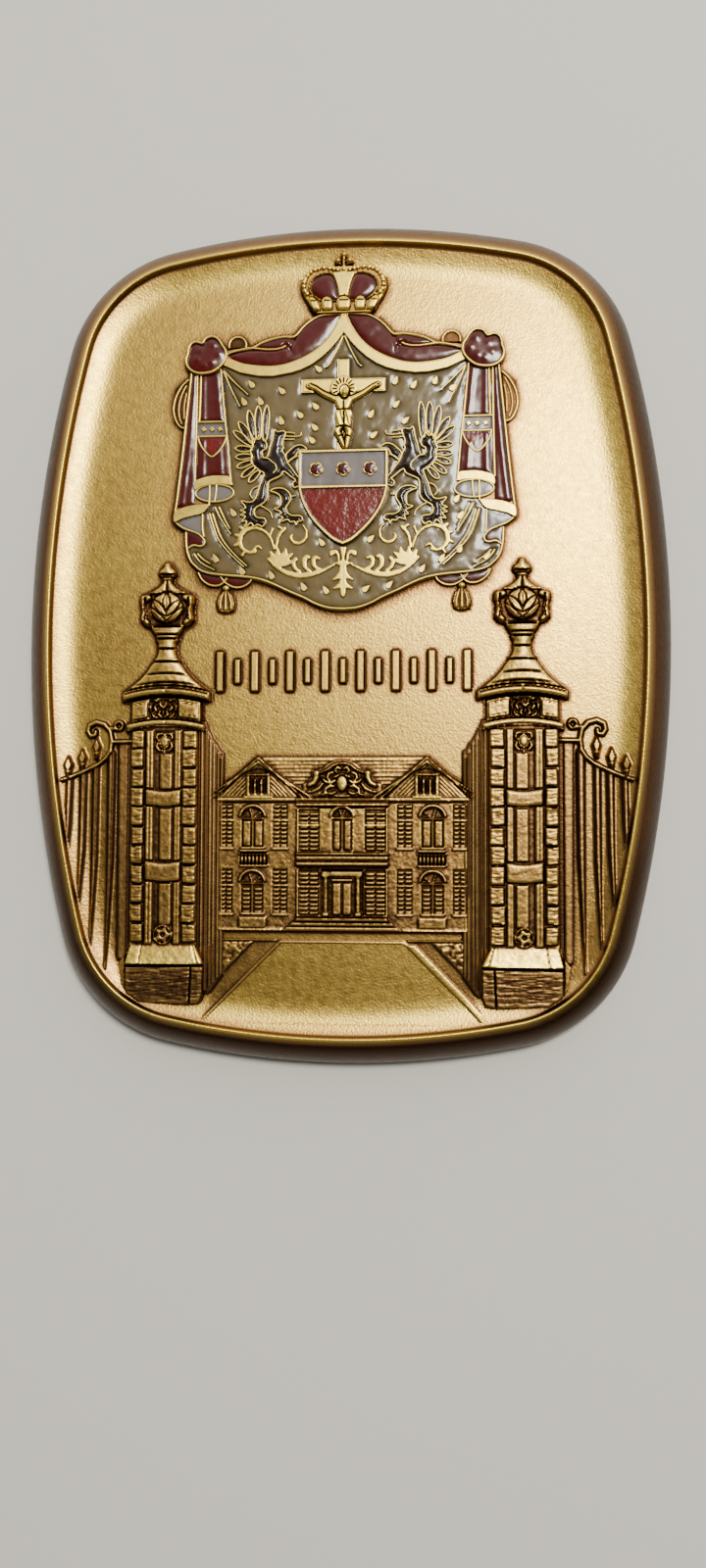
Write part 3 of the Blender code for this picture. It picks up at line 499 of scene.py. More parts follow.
def crest(z, x, y):
    """The carving in the pediment: an oval boss between leafy scrolls, under a bent moulding."""
    outline = [
        (0, -13.35), (0.7, -13.42), (1.5, -13.75), (2.1, -14.3), (3.2, -14.45), (3.3, -15.2), (3.75, -15.75),
        (4.2, -16.0), (4.2, -17.4), (-0.1, -17.4),
    ]
    z = raised(z, in_outline(x, y, outline), WALL_TOP + 0.08, 0.12)
    bent = [
        (0, -13.72, 0.12), (0.5, -13.78, 0.12), (1.0, -14.0, 0.12), (1.5, -14.4, 0.12),
        (2.2, -14.7, 0.1), (2.9, -14.72, 0.1),
    ]
    z = raised(z, in_stroke(x, y, bent), WALL_TOP + 0.42, 0.1)
    volute = [(2.75, -14.8, 0.28), (2.75, -15.3, 0.25), (3.0, -15.8, 0.24), (3.5, -16.05, 0.2)]
    z = raised(z, in_stroke(x, y, volute), WALL_TOP + 0.45, 0.2)
    panel = [(0, -13.9), (1.4, -14.5), (2.35, -14.9), (2.4, -16.2), (2.3, -17.1), (0, -17.1)]
    ground = sunk(z, in_outline(x, y, panel), WALL_TOP - 0.02)
    leaves = [
        [(0.15, -14.3, 0.12), (0.5, -14.15, 0.15), (0.75, -14.5, 0.14), (0.5, -14.8, 0.1)],
        [(0.1, -14.9, 0.14), (0.5, -15.1, 0.13), (1.0, -15.25, 0.1)],
        [(1.0, -14.7, 0.13), (1.45, -14.85, 0.16), (1.6, -15.3, 0.15), (1.3, -15.6, 0.1)],
        [(0.8, -15.6, 0.16), (1.2, -15.85, 0.18), (1.8, -15.7, 0.15), (2.15, -15.3, 0.1)],
        [(0.85, -16.2, 0.12), (1.3, -16.15, 0.18), (1.75, -16.45, 0.17), (1.85, -17.0, 0.12)],
        [(0.7, -16.8, 0.12), (1.1, -17.0, 0.14), (1.6, -16.9, 0.12), (2.2, -17.1, 0.1)],
        [(2.1, -15.9, 0.12), (2.45, -16.4, 0.16), (3.1, -16.7, 0.12), (3.7, -16.8, 0.08)],
    ]
    for leaf in leaves:
        ground = raised(ground, in_stroke(x, y, leaf), WALL_TOP + 0.3, 0.16)
    boss = in_oval(x, y, 0, -15.9, 0.62, 0.9)
    ground = np.maximum(ground, np.where(boss < 0, WALL_TOP + 0.28 + 0.16 * swell(boss, 0.4), 0))
    return sunk(ground, np.abs(boss + 0.02) - 0.05, WALL_TOP + 0.1, 0.08)


def mansion_heights(x, y):
    x = np.abs(x)
    z = np.full(x.shape, GROUND)
    roof = in_outline(x, y, [(-0.1, EAVES), (WING_OUTER, EAVES), (GABLE_AXIS, RIDGE), (-0.1, RIDGE)])
    course = (RIDGE - y) / 0.41
    broken = mottle(x * 0.35, np.floor(course) * 3.0, 1.0, 4)
    shingles = 0.085 * (course % 1.0) * (0.75 + 0.5 * broken)
    z = raised(z, roof, WALL_TOP - 0.1 + shingles)
    z = raised(z, in_box(x, y, -0.1, GROUND_LINE, WING_OUTER, EAVES), WALL_TOP)
    z = gable(z, x, y)
    z = raised(z, in_box(x, y, 4.7, -17.78, 13.45, -17.42), WALL_TOP + 0.24, 0.1)
    z = sunk(z, in_box(x, y, 4.9, -18.05, 13.3, -17.86), WALL_TOP - 0.1, 0.1)
    for low, high, slatted in ((-22.75, -18.1, False), (-29.75, -25.0, True)):
        for left, right in ((11.75, 13.15), (5.85, 7.4)):
            z = louvres(z, x, y, left, low, right, high)
            z = raised(z, in_box(x, y, left - 0.1, low - 0.2, right + 0.1, low - 0.02), WALL_TOP + 0.14, 0.1)
        z = arched_window(z, x, y, 9.6, 1.15, low, high - 0.35, slatted)
    z = balcony(z, x, y, -24.75, -23.05)
    z = raised(z, in_box(x, y, 8.1, -31.2, 11.0, -30.1), WALL_TOP + 0.14, 0.12)
    z = raised(z, in_box(x, y, -0.1, -30.1, BAY_HALF, EAVES), WALL_TOP + 0.1)
    z = crest(z, x, y)
    for top, low, high in ((0.4, -17.72, -17.46), (0.46, -18.0, -17.8), (0.34, -18.24, -18.08)):
        z = raised(z, in_box(x, y, -0.1, low, BAY_HALF + 0.1, high), WALL_TOP + top, 0.08)
    z = sunk(z, in_box(x, y, -0.1, -18.5, BAY_HALF, -18.32), WALL_TOP - 0.12, 0.1)
    z = louvres(z, x, y, 2.45, -23.1, 4.6, -18.6)
    z = louvres(z, x, y, 2.45, -29.9, 4.6, -25.1)
    z = arched_window(z, x, y, 0, 1.02, -23.1, -18.55, False)
    for top, low, high in ((0.34, -23.5, -23.25), (0.2, -24.0, -23.65), (0.4, -24.6, -24.28)):
        z = raised(z, in_box(x, y, -0.1, low, BAY_HALF + 0.05, high), WALL_TOP + top, 0.1)
    z = sunk(z, in_box(x, y, -0.1, -24.95, BAY_HALF, -24.72), WALL_TOP - 0.12, 0.1)
    z = sunk(z, in_box(x, y, -0.1, -29.95, 2.3, -25.0), WALL_TOP - 0.05, 0.1)
    z = raised(z, in_box(x, y, -0.1, -25.75, 2.2, -25.2), WALL_TOP + 0.36, 0.12)
    z = raised(z, in_box(x, y, -0.1, -26.3, 1.15, -26.0), WALL_TOP + 0.2, 0.1)
    for top, half, low, high in (
        (0.26, 0.2, -29.6, -25.8), (0.36, 0.34, -30.0, -29.6), (0.36, 0.34, -25.9, -25.5),
    ):
        z = raised(z, in_box(x, y, 1.72 - half, low, 1.72 + half, high), WALL_TOP + top, 0.14)
    z = raised(z, in_box(x, y, 0.12, -29.8, 0.95, -26.5), WALL_TOP + 0.08, 0.12)
    for step_row in range(3):
        low = -30.5 - step_row * 0.5
        half = 4.75 + step_row * 0.55
        tread = in_outline(x, y, [(-0.1, low), (half + 0.3, low), (half, low + 0.36), (-0.1, low + 0.36)])
        z = raised(z, tread, WALL_TOP + 0.32 - step_row * 0.09, 0.1)
    return raised(z, in_box(x, y, 6.4, -31.55, 13.3, -31.3), WALL_TOP + 0.1, 0.1)


def mansion():
    x, y = grid(MANSION_BOX, MANSION_STEP)
    z = mansion_heights(x, y)
    standing = ramp(-(z - FIELD - 0.2), 0.2)
    z = z + standing * (0.014 * mottle(x, y, 0.22, 11) + 0.012 * mottle(x, y, 0.5, 12))
    tone = np.clip(patina_and_shade_of(z, MANSION_STEP), -0.3, 0.65)
    # The standing relief is browner all over, and painted shade darkens it further towards the bottom.
    tone = tone + (0.14 + 0.1 * np.clip((-17 - y) / 14, 0, 1)) * standing
    return relief("mansion", x, y, z, with_margin(z, MANSION_STEP), RELIEF_BRONZE, tone)


settle(mansion(), "bronze")


# The forecourt runs from the gate to the mansion: a sunk driveway between thin kerbs, and a strip
# of gravel on each side of it, all in the same struck bronze.
FORECOURT_BOX = (-16.0, -41.8, 16.0, -32.1)
FORECOURT_STEP = 0.125
LOW_LIFT = 0.004


def forecourt():
    x, y = grid(FORECOURT_BOX, FORECOURT_STEP)
    away = np.abs(x)
    ground, inside = field_height(x, y)
    drive = in_outline(away, y, [(-0.1, -41.6), (15.1, -41.6), (6.45, -32.95), (-0.1, -32.95)])
    fade = np.clip((y + 41.4) / 1.4, 0, 1)
    z = ground - 0.1 * ramp(drive, 0.2) * fade
    z = z + 0.012 * mottle(x, y, 0.2, 22) * ramp(drive + 0.2, 0.3)
    kerb = np.where(x > 0, np.abs(drive - 0.5) - 0.36, np.abs(drive - 0.24) - 0.12)
    kerb = np.where(y > -32.95, np.abs(drive - 0.2) - 0.1, kerb)
    z = z + 0.14 * ramp(kerb, 0.14) * fade
    gravel = in_outline(away, y, [(9.6, -32.75), (12.9, -32.75), (12.9, -36.2)])
    z = z + ramp(gravel, 0.2) * (0.14 + 0.06 * mottle(x, y, 0.26, 23))
    line = np.maximum(in_box(away, y, 7.0, -32.62, 13.0, -32.42), 0.2 - drive)
    z = z + 0.2 * ramp(line, 0.1)
    plot = [(-0.1, -41.7), (15.3, -41.7), (14.6, -39.4), (13.2, -36.8), (13.2, -32.3), (-0.1, -32.3)]
    shown = (in_outline(away, y, plot) < 0) & (inside > 3.5)
    tone = np.clip(patina_and_shade_of(z, FORECOURT_STEP), -0.1, 0.6)
    beside = [(7.2, -32.3), (13.2, -32.3), (13.2, -37.0), (15.3, -41.7), (14.8, -41.7)]
    tone = tone + 0.2 * ramp(in_outline(away, y, beside), 0.3) * fade
    tone = tone + (0.42 - 0.36 * np.clip((-33.0 - y) / 8.2, 0, 1)) * ramp(drive, 0.2)
    tone = laid(tone, kerb, np.where(x > 0, -0.1, 0.05), 0.12)
    tone = tone + 0.35 * ramp(np.abs(drive + 0.02) - 0.05, 0.12) * fade
    tone = tone + ramp(gravel, 0.1) * (0.05 - 0.2 * mottle(x, y, 0.26, 23))
    return relief("forecourt", x, y, z + LOW_LIFT, shown, FIELD_BRONZE, tone, ground=ground)


settle(forecourt(), "bronze")


# The gate's two piers are the highest relief: rusticated shafts on sloping bases, with a frieze, a
# bell-shaped cap and a lidded urn on each. The dies cut them deep, so their walls are dark with patina and
# painted shade.
PIER_AXIS = 19.05
PIER_BOX = (-5.3, -40.1, 5.3, 8.5)
PIER_STEP = 0.1
PIER_FACE = 4.7
PIER_CREST = 4.97
PIER_LIFT = 0.012
COURSES = 11
COURSE_TOP = -10.2
COURSE_PITCH = 2.07
URN_LEAVES = (
    [(0.12, 2.35, 0.1), (0.6, 2.85, 0.3), (1.05, 3.4, 0.26), (1.4, 3.85, 0.06)],
    [(0.3, 1.7, 0.08), (0.85, 2.05, 0.24), (1.35, 2.55, 0.22), (1.7, 3.0, 0.05)],
    [(0.0, 2.95, 0.06), (0.0, 3.5, 0.34), (0.0, 4.0, 0.3), (0.0, 4.45, 0.08)],
)
FRIEZE_LEAVES = (
    [(0.15, -8.75, 0.1), (0.5, -8.45, 0.14), (0.35, -8.05, 0.1)],
    [(0.7, -8.75, 0.12), (1.05, -8.6, 0.13), (1.2, -8.2, 0.1)],
    [(0.0, -7.75, 0.15), (0.3, -7.45, 0.13), (0.3, -7.1, 0.1)],
    [(0.75, -8.0, 0.14), (0.95, -7.7, 0.13), (0.75, -7.35, 0.1)],
    [(1.35, -7.95, 0.12), (1.4, -7.5, 0.13), (1.15, -7.1, 0.1)],
    [(0.7, -6.95, 0.12), (1.05, -6.85, 0.1)], [(0.0, -8.35, 0.1), (0.0, -8.15, 0.12)],
)
CARTOUCHE = (
    [(0.3, -10.55, 0.12), (0.75, -10.6, 0.14), (0.85, -11.0, 0.12), (0.65, -11.25, 0.1)],
    [(0.7, -11.5, 0.12), (0.85, -11.95, 0.14), (0.6, -12.3, 0.13), (0.25, -12.35, 0.1)],
    [(0.0, -12.25, 0.1), (0.0, -12.6, 0.14)], [(0.0, -10.6, 0.13), (0.0, -10.75, 0.1)],
)


def finial(z, u, y):
    """The urn on the pier, from its bud down to the foot that stands on the cap."""
    v = np.abs(u)
    neck = in_outline(
        v, y, [(-0.1, 6.5), (0.45, 6.4), (0.5, 5.9), (0.95, 5.4), (1.9, 4.85), (2.0, 4.6), (-0.1, 4.6)],
    )
    z = domed(z, neck, 4.1, 4.65, 0.5)
    bud = np.minimum(in_oval(u, y, 0, 6.95, 0.95, 0.62), in_stroke(u, y, [(0, 7.2, 0.6), (0, 7.75, 0.36)]))
    z = domed(z, bud, 4.15, 4.7, 0.55)
    z = sunk(z, np.abs(y - 6.72 - 0.1 * v) - 0.07 + 99 * (v > 0.85), 4.25, 0.1)
    for ring_y, half in ((6.25, 0.55), (4.75, 1.95)):
        z = raised(z, in_box(u, y, -half, ring_y - 0.09, half, ring_y + 0.09), 4.75, 0.16)
    body = in_outline(
        v, y,
        [
            (-0.1, 4.75), (1.95, 4.7), (2.75, 4.55), (3.0, 4.2), (2.95, 3.6), (2.75, 3.4), (2.8, 1.9),
            (2.55, 1.3), (1.9, 1.1), (-0.1, 1.1),
        ],
    )
    z = raised(z, body, 4.3)
    bowl = in_oval(u, y, 0, 3.1, 1.85, 1.75)
    z = domed(z, bowl, 4.3, 4.85, 1.2)
    z = sunk(z, np.abs(bowl + 0.02) - 0.06, 4.35, 0.12)
    for leaf in URN_LEAVES:
        blade = in_stroke(v, y, leaf)
        z = z + 0.14 * ramp(blade, 0.16) - 0.14 * ramp(np.abs(blade - 0.1) - 0.05, 0.1) * (bowl < 0)
        z = z - 0.08 * ramp(in_stroke(v, y, [(px, py, 0.03) for px, py, _ in leaf]), 0.1)
    handle = [
        (2.0, 4.2, 0.3), (2.5, 4.1, 0.36), (2.6, 3.5, 0.2), (2.45, 2.6, 0.22), (2.55, 1.9, 0.3),
        (2.1, 1.5, 0.26),
    ]
    z = raised(z, in_stroke(v, y, handle), 4.8, 0.3)
    groove = [(2.35, 4.15, 0.07), (2.45, 3.4, 0.05), (2.3, 2.5, 0.05), (2.4, 1.85, 0.07)]
    z = sunk(z, in_stroke(v, y, groove), 4.45, 0.1)
    foot = in_outline(v, y, [
        (-0.1, 1.3), (1.85, 1.2), (1.6, 0.6), (1.25, 0.1), (1.15, -0.4), (0.95, -0.8), (0.95, -1.7),
        (1.1, -2.2), (1.5, -2.7), (-0.1, -2.7),
    ])
    half = np.interp(
        -y, (-1.2, -0.6, -0.1, 0.4, 0.8, 1.7, 2.2, 2.7), (1.85, 1.6, 1.25, 1.15, 0.95, 0.95, 1.1, 1.5),
    )
    z = raised(z, foot, 4.2 + 0.5 * np.sqrt(np.clip(1 - (u / half) ** 2, 0, 1)))
    for ring_y, half in ((1.05, 1.5), (0.2, 1.2), (-0.25, 1.1), (-1.35, 0.95), (-2.75, 1.55)):
        z = sunk(z, in_box(u, y, -half, ring_y - 0.05, half, ring_y + 0.07), 4.2, 0.12)
        z = z + 0.07 * ramp(in_box(u, y, -half, ring_y + 0.14, half, ring_y + 0.32), 0.12)
    return z


def pier_cap(z, u, y):
    """The bell-shaped cap, cornice, frieze and astragal, all bowed as on a round drum."""
    bowed = y + 0.032 * u * u
    bell = in_outline(np.abs(u), bowed, [
        (-0.1, -2.7), (1.3, -2.65), (1.75, -3.1), (2.2, -3.75), (2.9, -4.4), (3.8, -4.95), (4.5, -5.25),
        (-0.1, -5.3),
    ])
    half = np.interp(-bowed, (2.65, 3.1, 3.75, 4.4, 4.95, 5.25), (1.3, 1.75, 2.2, 2.9, 3.8, 4.5))
    z = raised(z, bell, 4.38 + 0.4 * np.sqrt(np.clip(1 - (u / half) ** 2, 0, 1)))
    for groove in (-4.02, -4.98):
        z = sunk(z, np.maximum(np.abs(bowed - groove) - 0.08, bell + 0.1), 4.5, 0.2)
    cornice = np.maximum(in_box(np.abs(u), bowed, -0.1, -6.3, 4.75, -5.35), np.abs(u) - 4.75)
    z = domed(z, cornice, 4.45, 4.87, 0.4)
    z = sunk(z, np.maximum(np.abs(bowed + 5.62) - 0.1, cornice + 0.12), 4.6, 0.2)
    frieze = in_box(np.abs(u), bowed, -0.1, -8.95, 3.8, -6.5)
    z = raised(z, frieze, 4.42, 0.16)
    z = sunk(z, np.maximum(np.abs(bowed + 6.55) - 0.1, frieze), 4.1, 0.12)
    for left, right in ((-3.65, -2.05), (1.45, 3.55)):
        panel = in_box(u, bowed, left, -8.6, right, -6.95)
        z = raised(z, panel, 4.58, 0.14)
        z = sunk(z, np.abs(panel + 0.2) - 0.03, 4.5, 0.08)
    z = sunk(z, in_box(u, bowed, -1.85, -8.75, 1.3, -6.8), 4.2, 0.12)
    for leaf in FRIEZE_LEAVES:
        z = raised(z, in_stroke(np.abs(u + 0.27), bowed, leaf), 4.6, 0.16)
    astragal = in_box(np.abs(u), bowed, -0.1, -9.72, 4.25, -9.0)
    z = domed(z, astragal, 4.5, 4.82, 0.3)
    return sunk(z, np.maximum(np.abs(bowed + 9.6) - 0.06, astragal + 0.04), 4.6, 0.14)


def pier_shaft(z, u, y, seed):
    """Rough quoins on both sides of a panelled face, crossed by two bands, over a sloping base."""
    z = raised(z, in_box(u, y, -3.8, -33.3, 3.55, -9.6), 4.4, 0.2)
    waver = 0.05 * mottle(u, y, 0.9, seed)
    tooling = 0.035 * mottle(u * 0.22, y, 0.12, seed + 1)
    for course in range(COURSES):
        top = COURSE_TOP - course * COURSE_PITCH
        for left, right in ((-3.62, -2.35), (1.95, 3.4)):
            shift = 0.12 * math.sin(course * 2.4 + left)
            bed = y + 0.05 * mottle(u, y, 0.7, seed + 2)
            low, high = top - COURSE_PITCH + 0.22, top - shift / 3
            block = in_box(u, bed, left + shift / 2, low, right + shift / 2, high)
            z = raised(z, block + waver, PIER_FACE + 0.04, 0.2)
    z = z + tooling * ramp(-(z - PIER_FACE + 0.15), 0.15)
    for left, right in ((-2.1, -1.3), (1.0, 1.68)):
        z = raised(z, in_box(u, y, left, -33.0, right, -10.2), 4.55, 0.14)
        middle = (left + right) / 2
        z = sunk(z, in_box(u, y, middle - 0.03, -32.8, middle + 0.03, -10.4), 4.5, 0.1)
    z = sunk(z, in_box(u, y, -1.25, -33.0, 0.95, -10.2), 4.3, 0.14)
    for low, high in ((-16.5, -12.7), (-24.1, -18.6), (-31.0, -26.6)):
        z = raised(z, in_box(u, y, -0.55, low, 0.72, high), 4.46, 0.2)
    for low, high in ((-18.25, -16.65), (-26.3, -24.35)):
        sag = y + 0.1 * np.cos(u * 1.4)
        band = in_box(u, sag, -2.1, low, 1.75, high)
        z = domed(z, band, 4.5, 4.72, 0.35)
        z = sunk(z, np.abs(band - 0.12) - 0.05, 4.3, 0.12)
    for curl in CARTOUCHE:
        z = raised(z, in_stroke(np.abs(u + 0.1), y, curl), 4.6, 0.14)
    oval = in_oval(u + 0.1, y, 0, -11.45, 0.55, 0.72)
    z = domed(z, oval, 4.5, 4.66, 0.4)
    z = sunk(z, np.abs(oval + 0.14) - 0.02, 4.46, 0.08)
    rosette = np.hypot(u + 0.1, y + 32.05)
    petals = rosette - 0.72 - 0.14 * np.cos(5 * np.arctan2(y + 32.05, u + 0.1))
    z = raised(z, np.abs(rosette - 0.95) - 0.1, 4.62, 0.12)
    z = raised(z, petals, 4.55, 0.2)
    z = sunk(z, rosette - 0.22, 4.25, 0.16)
    slope = in_outline(u, y, [(-3.65, -33.15), (3.1, -33.15), (3.3, -33.1), (4.4, -35.15), (-4.2, -35.25)])
    z = raised(z, slope, 4.6 - 0.2 * (y + 34.15), 0.16)
    for crease in (
        [(-2.4, -33.1, 0.04), (-2.7, -35.2, 0.04)], [(3.1, -33.2, 0.05), (3.65, -35.1, 0.05)],
        [(3.3, -33.1, 0.04), (4.1, -34.9, 0.04)],
    ):
        z = z - 0.1 * ramp(in_stroke(u, y, crease), 0.12)
    base = in_outline(
        u, y,
        [
            (-4.1, -35.45), (4.35, -35.3), (4.3, -38.3), (4.0, -39.25), (2.7, -39.45), (-2.6, -39.2),
            (-4.1, -38.2),
        ],
    )
    z = raised(z, base, PIER_FACE + 0.02, 0.2)
    z = sunk(z, np.abs(y + 35.34) - 0.05 + 99 * (np.abs(u) > 4.5), 4.4, 0.14)
    z = sunk(z, in_stroke(u, y, [(3.0, -35.5, 0.05), (2.85, -39.3, 0.05)]), 4.45, 0.12)
    z = z + ramp(base + 0.2, 0.3) * 0.03 * mottle(u * 0.12, y, 0.1, seed + 3)
    flank = in_outline(u, y, [(-5.0, -35.1), (-4.2, -34.2), (-4.1, -38.3), (-4.7, -37.4)])
    return raised(z, flank, 4.3, 0.2)


def pier(word, side):
    u, y = grid(PIER_BOX, PIER_STEP)
    seed = 40 if side > 0 else 60
    z = np.full(u.shape, GROUND)
    z = pier_shaft(z, -u, y, seed)
    z = pier_cap(z, -u, y)
    z = finial(z, u, y)
    standing = ramp(-(z - FIELD - 0.25), 0.2)
    z = z + standing * (0.012 * mottle(u, y, 0.25, seed + 7) + 0.012 * mottle(u, y, 0.6, seed + 8))
    z = np.minimum(z, PIER_CREST)
    block = ramp(in_box(-u, y, -4.4, -39.6, 4.5, -35.35), 0.2)
    # Painted shade darkens the pier below its cap. The sloping base is painted lighter, as a lit face, and
    # the base block below it darker, with a tooled mottle.
    tone = np.clip(patina_and_shade_of(z, PIER_STEP), -0.25, 0.52) + 0.1 * standing
    tone = tone + 0.1 * standing * np.clip((-9.0 - y) / 6.0, 0, 1)
    tone = tone + block * (0.22 + 0.18 * mottle(u * 0.12, y, 0.1, seed + 3))
    tone = tone - 0.36 * ramp(in_box(-u, y, -4.0, -35.15, 4.1, -33.2), 0.2)
    shown = with_margin(z, PIER_STEP, 0.4)
    return relief(f"pier_{word}", u + PIER_AXIS, y, z + PIER_LIFT, shown, RELIEF_BRONZE, tone, side)


SIDES = (("right", 1), ("left", -1))
for word, side in SIDES:
    settle(pier(word, side), "bronze")


# The gate stands open: its leaf shows nearly edge on beside each pier, all thin upright bars, and
# railings with leaf-shaped heads run off on the outer side, their bars cut short by the rim.
LEAF_LIFT = 0.008
LEAF_BOX = (12.2, -38.6, 16.1, -8.7)
RAIL_BOX = (22.4, -36.6, 32.0, -8.6)
GATE_STEP = 0.1
LEAF_BARS = (
    (15.62, -9.6), (15.15, -9.6), (14.72, -9.9), (14.25, -11.0), (13.85, -11.5), (13.38, -12.4),
    (12.98, -12.9),
)
RAIL_BARS = (
    ((25.1, -12.6, 0.42), (25.15, -24.0, 0.36), (25.45, -35.7, 0.1)),
    ((26.8, -14.0, 0.36), (26.85, -24.0, 0.33), (27.1, -33.8, 0.08)),
    ((28.15, -14.8, 0.36), (28.2, -23.0, 0.32), (28.5, -31.0, 0.08)),
    ((29.6, -15.4, 0.34), (29.65, -20.0, 0.3), (29.8, -26.0, 0.08)),
)
SPEARS = ((26.75, -10.95), (28.3, -12.15), (29.75, -12.95))
TOP_RAIL = (
    (25.2, -12.3, 0.1), (25.7, -13.1, 0.11), (26.5, -13.75, 0.11), (27.6, -14.3, 0.11),
    (28.8, -14.85, 0.11), (30.0, -15.35, 0.11), (31.2, -15.75, 0.1),
)
RAIL_SCROLL = (
    (25.2, -12.4, 0.12), (25.05, -11.2, 0.14), (25.25, -10.2, 0.15), (25.9, -9.45, 0.17),
    (26.8, -9.2, 0.17), (27.55, -9.55, 0.16), (27.7, -10.2, 0.15), (27.4, -10.7, 0.14),
    (26.9, -10.6, 0.13), (26.85, -10.2, 0.12),
)


def gate_leaf(word, side):
    x, y = grid(LEAF_BOX, GATE_STEP)
    z = np.full(x.shape, GROUND)
    leaf = in_outline(x, y, [
        (15.9, -9.2), (14.75, -9.1), (14.45, -10.0), (14.15, -10.6), (13.95, -11.1), (13.5, -11.6),
        (13.15, -12.3), (12.75, -12.5), (12.75, -36.3), (14.3, -38.4), (15.9, -38.4),
    ])
    z = raised(z, leaf, 3.98, 0.14)
    tone = np.clip(patina_and_shade_of(z, GATE_STEP), 0, 0.5)
    tone = laid(tone, leaf, 0.48 + 0.08 * mottle(x * 2, y * 0.2, 1.0, 81), 0.14)
    for middle, top in LEAF_BARS:
        foot = -36.0 - (middle - 12.8) * 1.0
        bar = in_stroke(x, y, [(middle, top - 0.2, 0.1), (middle - 0.02, foot, 0.07)])
        z = z + 0.15 * ramp(bar, 0.2)
        tone = laid(tone, bar, 0.06, 0.14)
    shown = with_margin(z, GATE_STEP, 0.3)
    return relief(f"gate_leaf_{word}", x, y, z + LEAF_LIFT, shown, RELIEF_BRONZE, tone, side)


def railing(word, side):
    """Ridges for bars, brown at their sides as painted shade and bright on their backs, rubbed and with a
    painted highlight, on ground that rises to the rim.
    """
    x, y = grid(RAIL_BOX, GATE_STEP)
    ground, inside = field_height(x, y)
    bay = in_outline(
        x, y,
        [
            (22.6, -11.2), (25.0, -11.5), (25.7, -13.1), (27.6, -14.3), (31.6, -15.9), (31.6, -36.5),
            (22.6, -36.5),
        ],
    )
    z = ground + 0.01 * mottle(x, y, 0.3, 83) * ramp(bay, 0.3)
    tone = 0.14 * ramp(bay, 0.4)
    post = in_stroke(x, y, [(23.85, -11.8, 0.62), (23.8, -34.4, 0.55)])
    # A band of painted shadow runs along both edges of the post.
    tone = laid(tone, np.abs(post + 0.05) - 0.24, 0.5, 0.3)
    z = z + 0.14 * ramp(post + 0.1, 0.24)
    for bar in RAIL_BARS:
        flank = in_stroke(x, y, [(px, py, half * 1.2) for px, py, half in bar])
        back = in_stroke(x, y, [(px + 0.06, py, half * 0.26) for px, py, half in bar])
        z = z + 0.3 * ramp(flank + 0.08, 0.4)
        tone = laid(laid(tone, flank, 0.66, 0.16), back, 0.02, 0.12)
    curls = np.minimum(in_stroke(x, y, TOP_RAIL), in_stroke(x, y, RAIL_SCROLL))
    curls = np.minimum(curls, np.abs(in_oval(x, y, 24.3, -9.6, 0.42, 0.42)) - 0.1)
    curls = np.minimum(curls, in_stroke(x, y, [(22.9, -11.3, 0.12), (25.0, -11.35, 0.12)]))
    curls = np.minimum(curls, in_stroke(x, y, [(24.6, -9.95, 0.1), (25.2, -9.9, 0.12)]))
    z = z + (ground + 0.46 - z) * ramp(curls - 0.06, 0.3)
    # The rails and scroll get painted shade along each side and are rubbed bright on top, with a painted
    # highlight.
    tone = laid(laid(tone, curls - 0.22, 0.68, 0.16), curls, -0.12, 0.12)
    for spear_x, spear_y in SPEARS:
        head = in_stroke(
            x, y,
            [
                (spear_x, spear_y, 0.1), (spear_x, spear_y - 0.9, 0.46), (spear_x, spear_y - 1.5, 0.3),
                (spear_x, spear_y - 2.2, 0.18),
            ],
        )
        blade = in_stroke(
            x, y,
            [
                (spear_x, spear_y - 0.35, 0.04), (spear_x, spear_y - 1.0, 0.24),
                (spear_x, spear_y - 1.25, 0.12),
            ],
        )
        collar = in_stroke(
            x, y, [(spear_x - 0.25, spear_y - 1.6, 0.08), (spear_x + 0.25, spear_y - 1.6, 0.08)],
        )
        z = np.maximum(z, ground + 0.5 * ramp(head, 0.3))
        # Each spearhead is painted dark as shade, with its blade and collar rubbed bright and with a painted
        # highlight.
        tone = laid(tone, head, 0.66, 0.14)
        tone = laid(tone, np.minimum(blade, collar), -0.12, 0.1)
    shown = (bay < 0) | with_margin(z - ground + GROUND, GATE_STEP, 0.3)
    shown &= inside > 3.45
    return relief(f"railing_{word}", x, y, z + LOW_LIFT, shown, RELIEF_BRONZE, tone, side, ground)


for word, side in SIDES:
    settle(gate_leaf(word, side), "bronze")
    settle(railing(word, side), "bronze")


# One row of plain upright strokes, tall and short in turn, runs between the arms and the mansion.
# They are struck with flat tops and steep walls.
STROKE_TOP = 4.1
STROKE_ROW = -3.8
STROKE_PITCH = 1.9
STROKE_PAIRS = 7
STROKE_STEP = 0.08


def stroke_row():
    x, y = grid((-14.6, STROKE_ROW - 3.0, 14.6, STROKE_ROW + 3.0), STROKE_STEP)
    z = np.full(x.shape, GROUND)
    for index in range(-STROKE_PAIRS, STROKE_PAIRS + 1):
        half, reach = (0.3, 1.3) if index % 2 == 0 else (0.38, 2.15)
        middle = index * STROKE_PITCH
        stroke = in_box(x, y, middle - half, STROKE_ROW - reach, middle + half, STROKE_ROW + reach)
        z = raised(z, stroke, STROKE_TOP, 0.16)
    tone = np.clip(patina_and_shade_of(z, STROKE_STEP) * 1.2, -0.1, 1)
    return relief("stroke_row", x, y, z, with_margin(z, STROKE_STEP), RELIEF_BRONZE, tone)


settle(stroke_row(), "bronze")


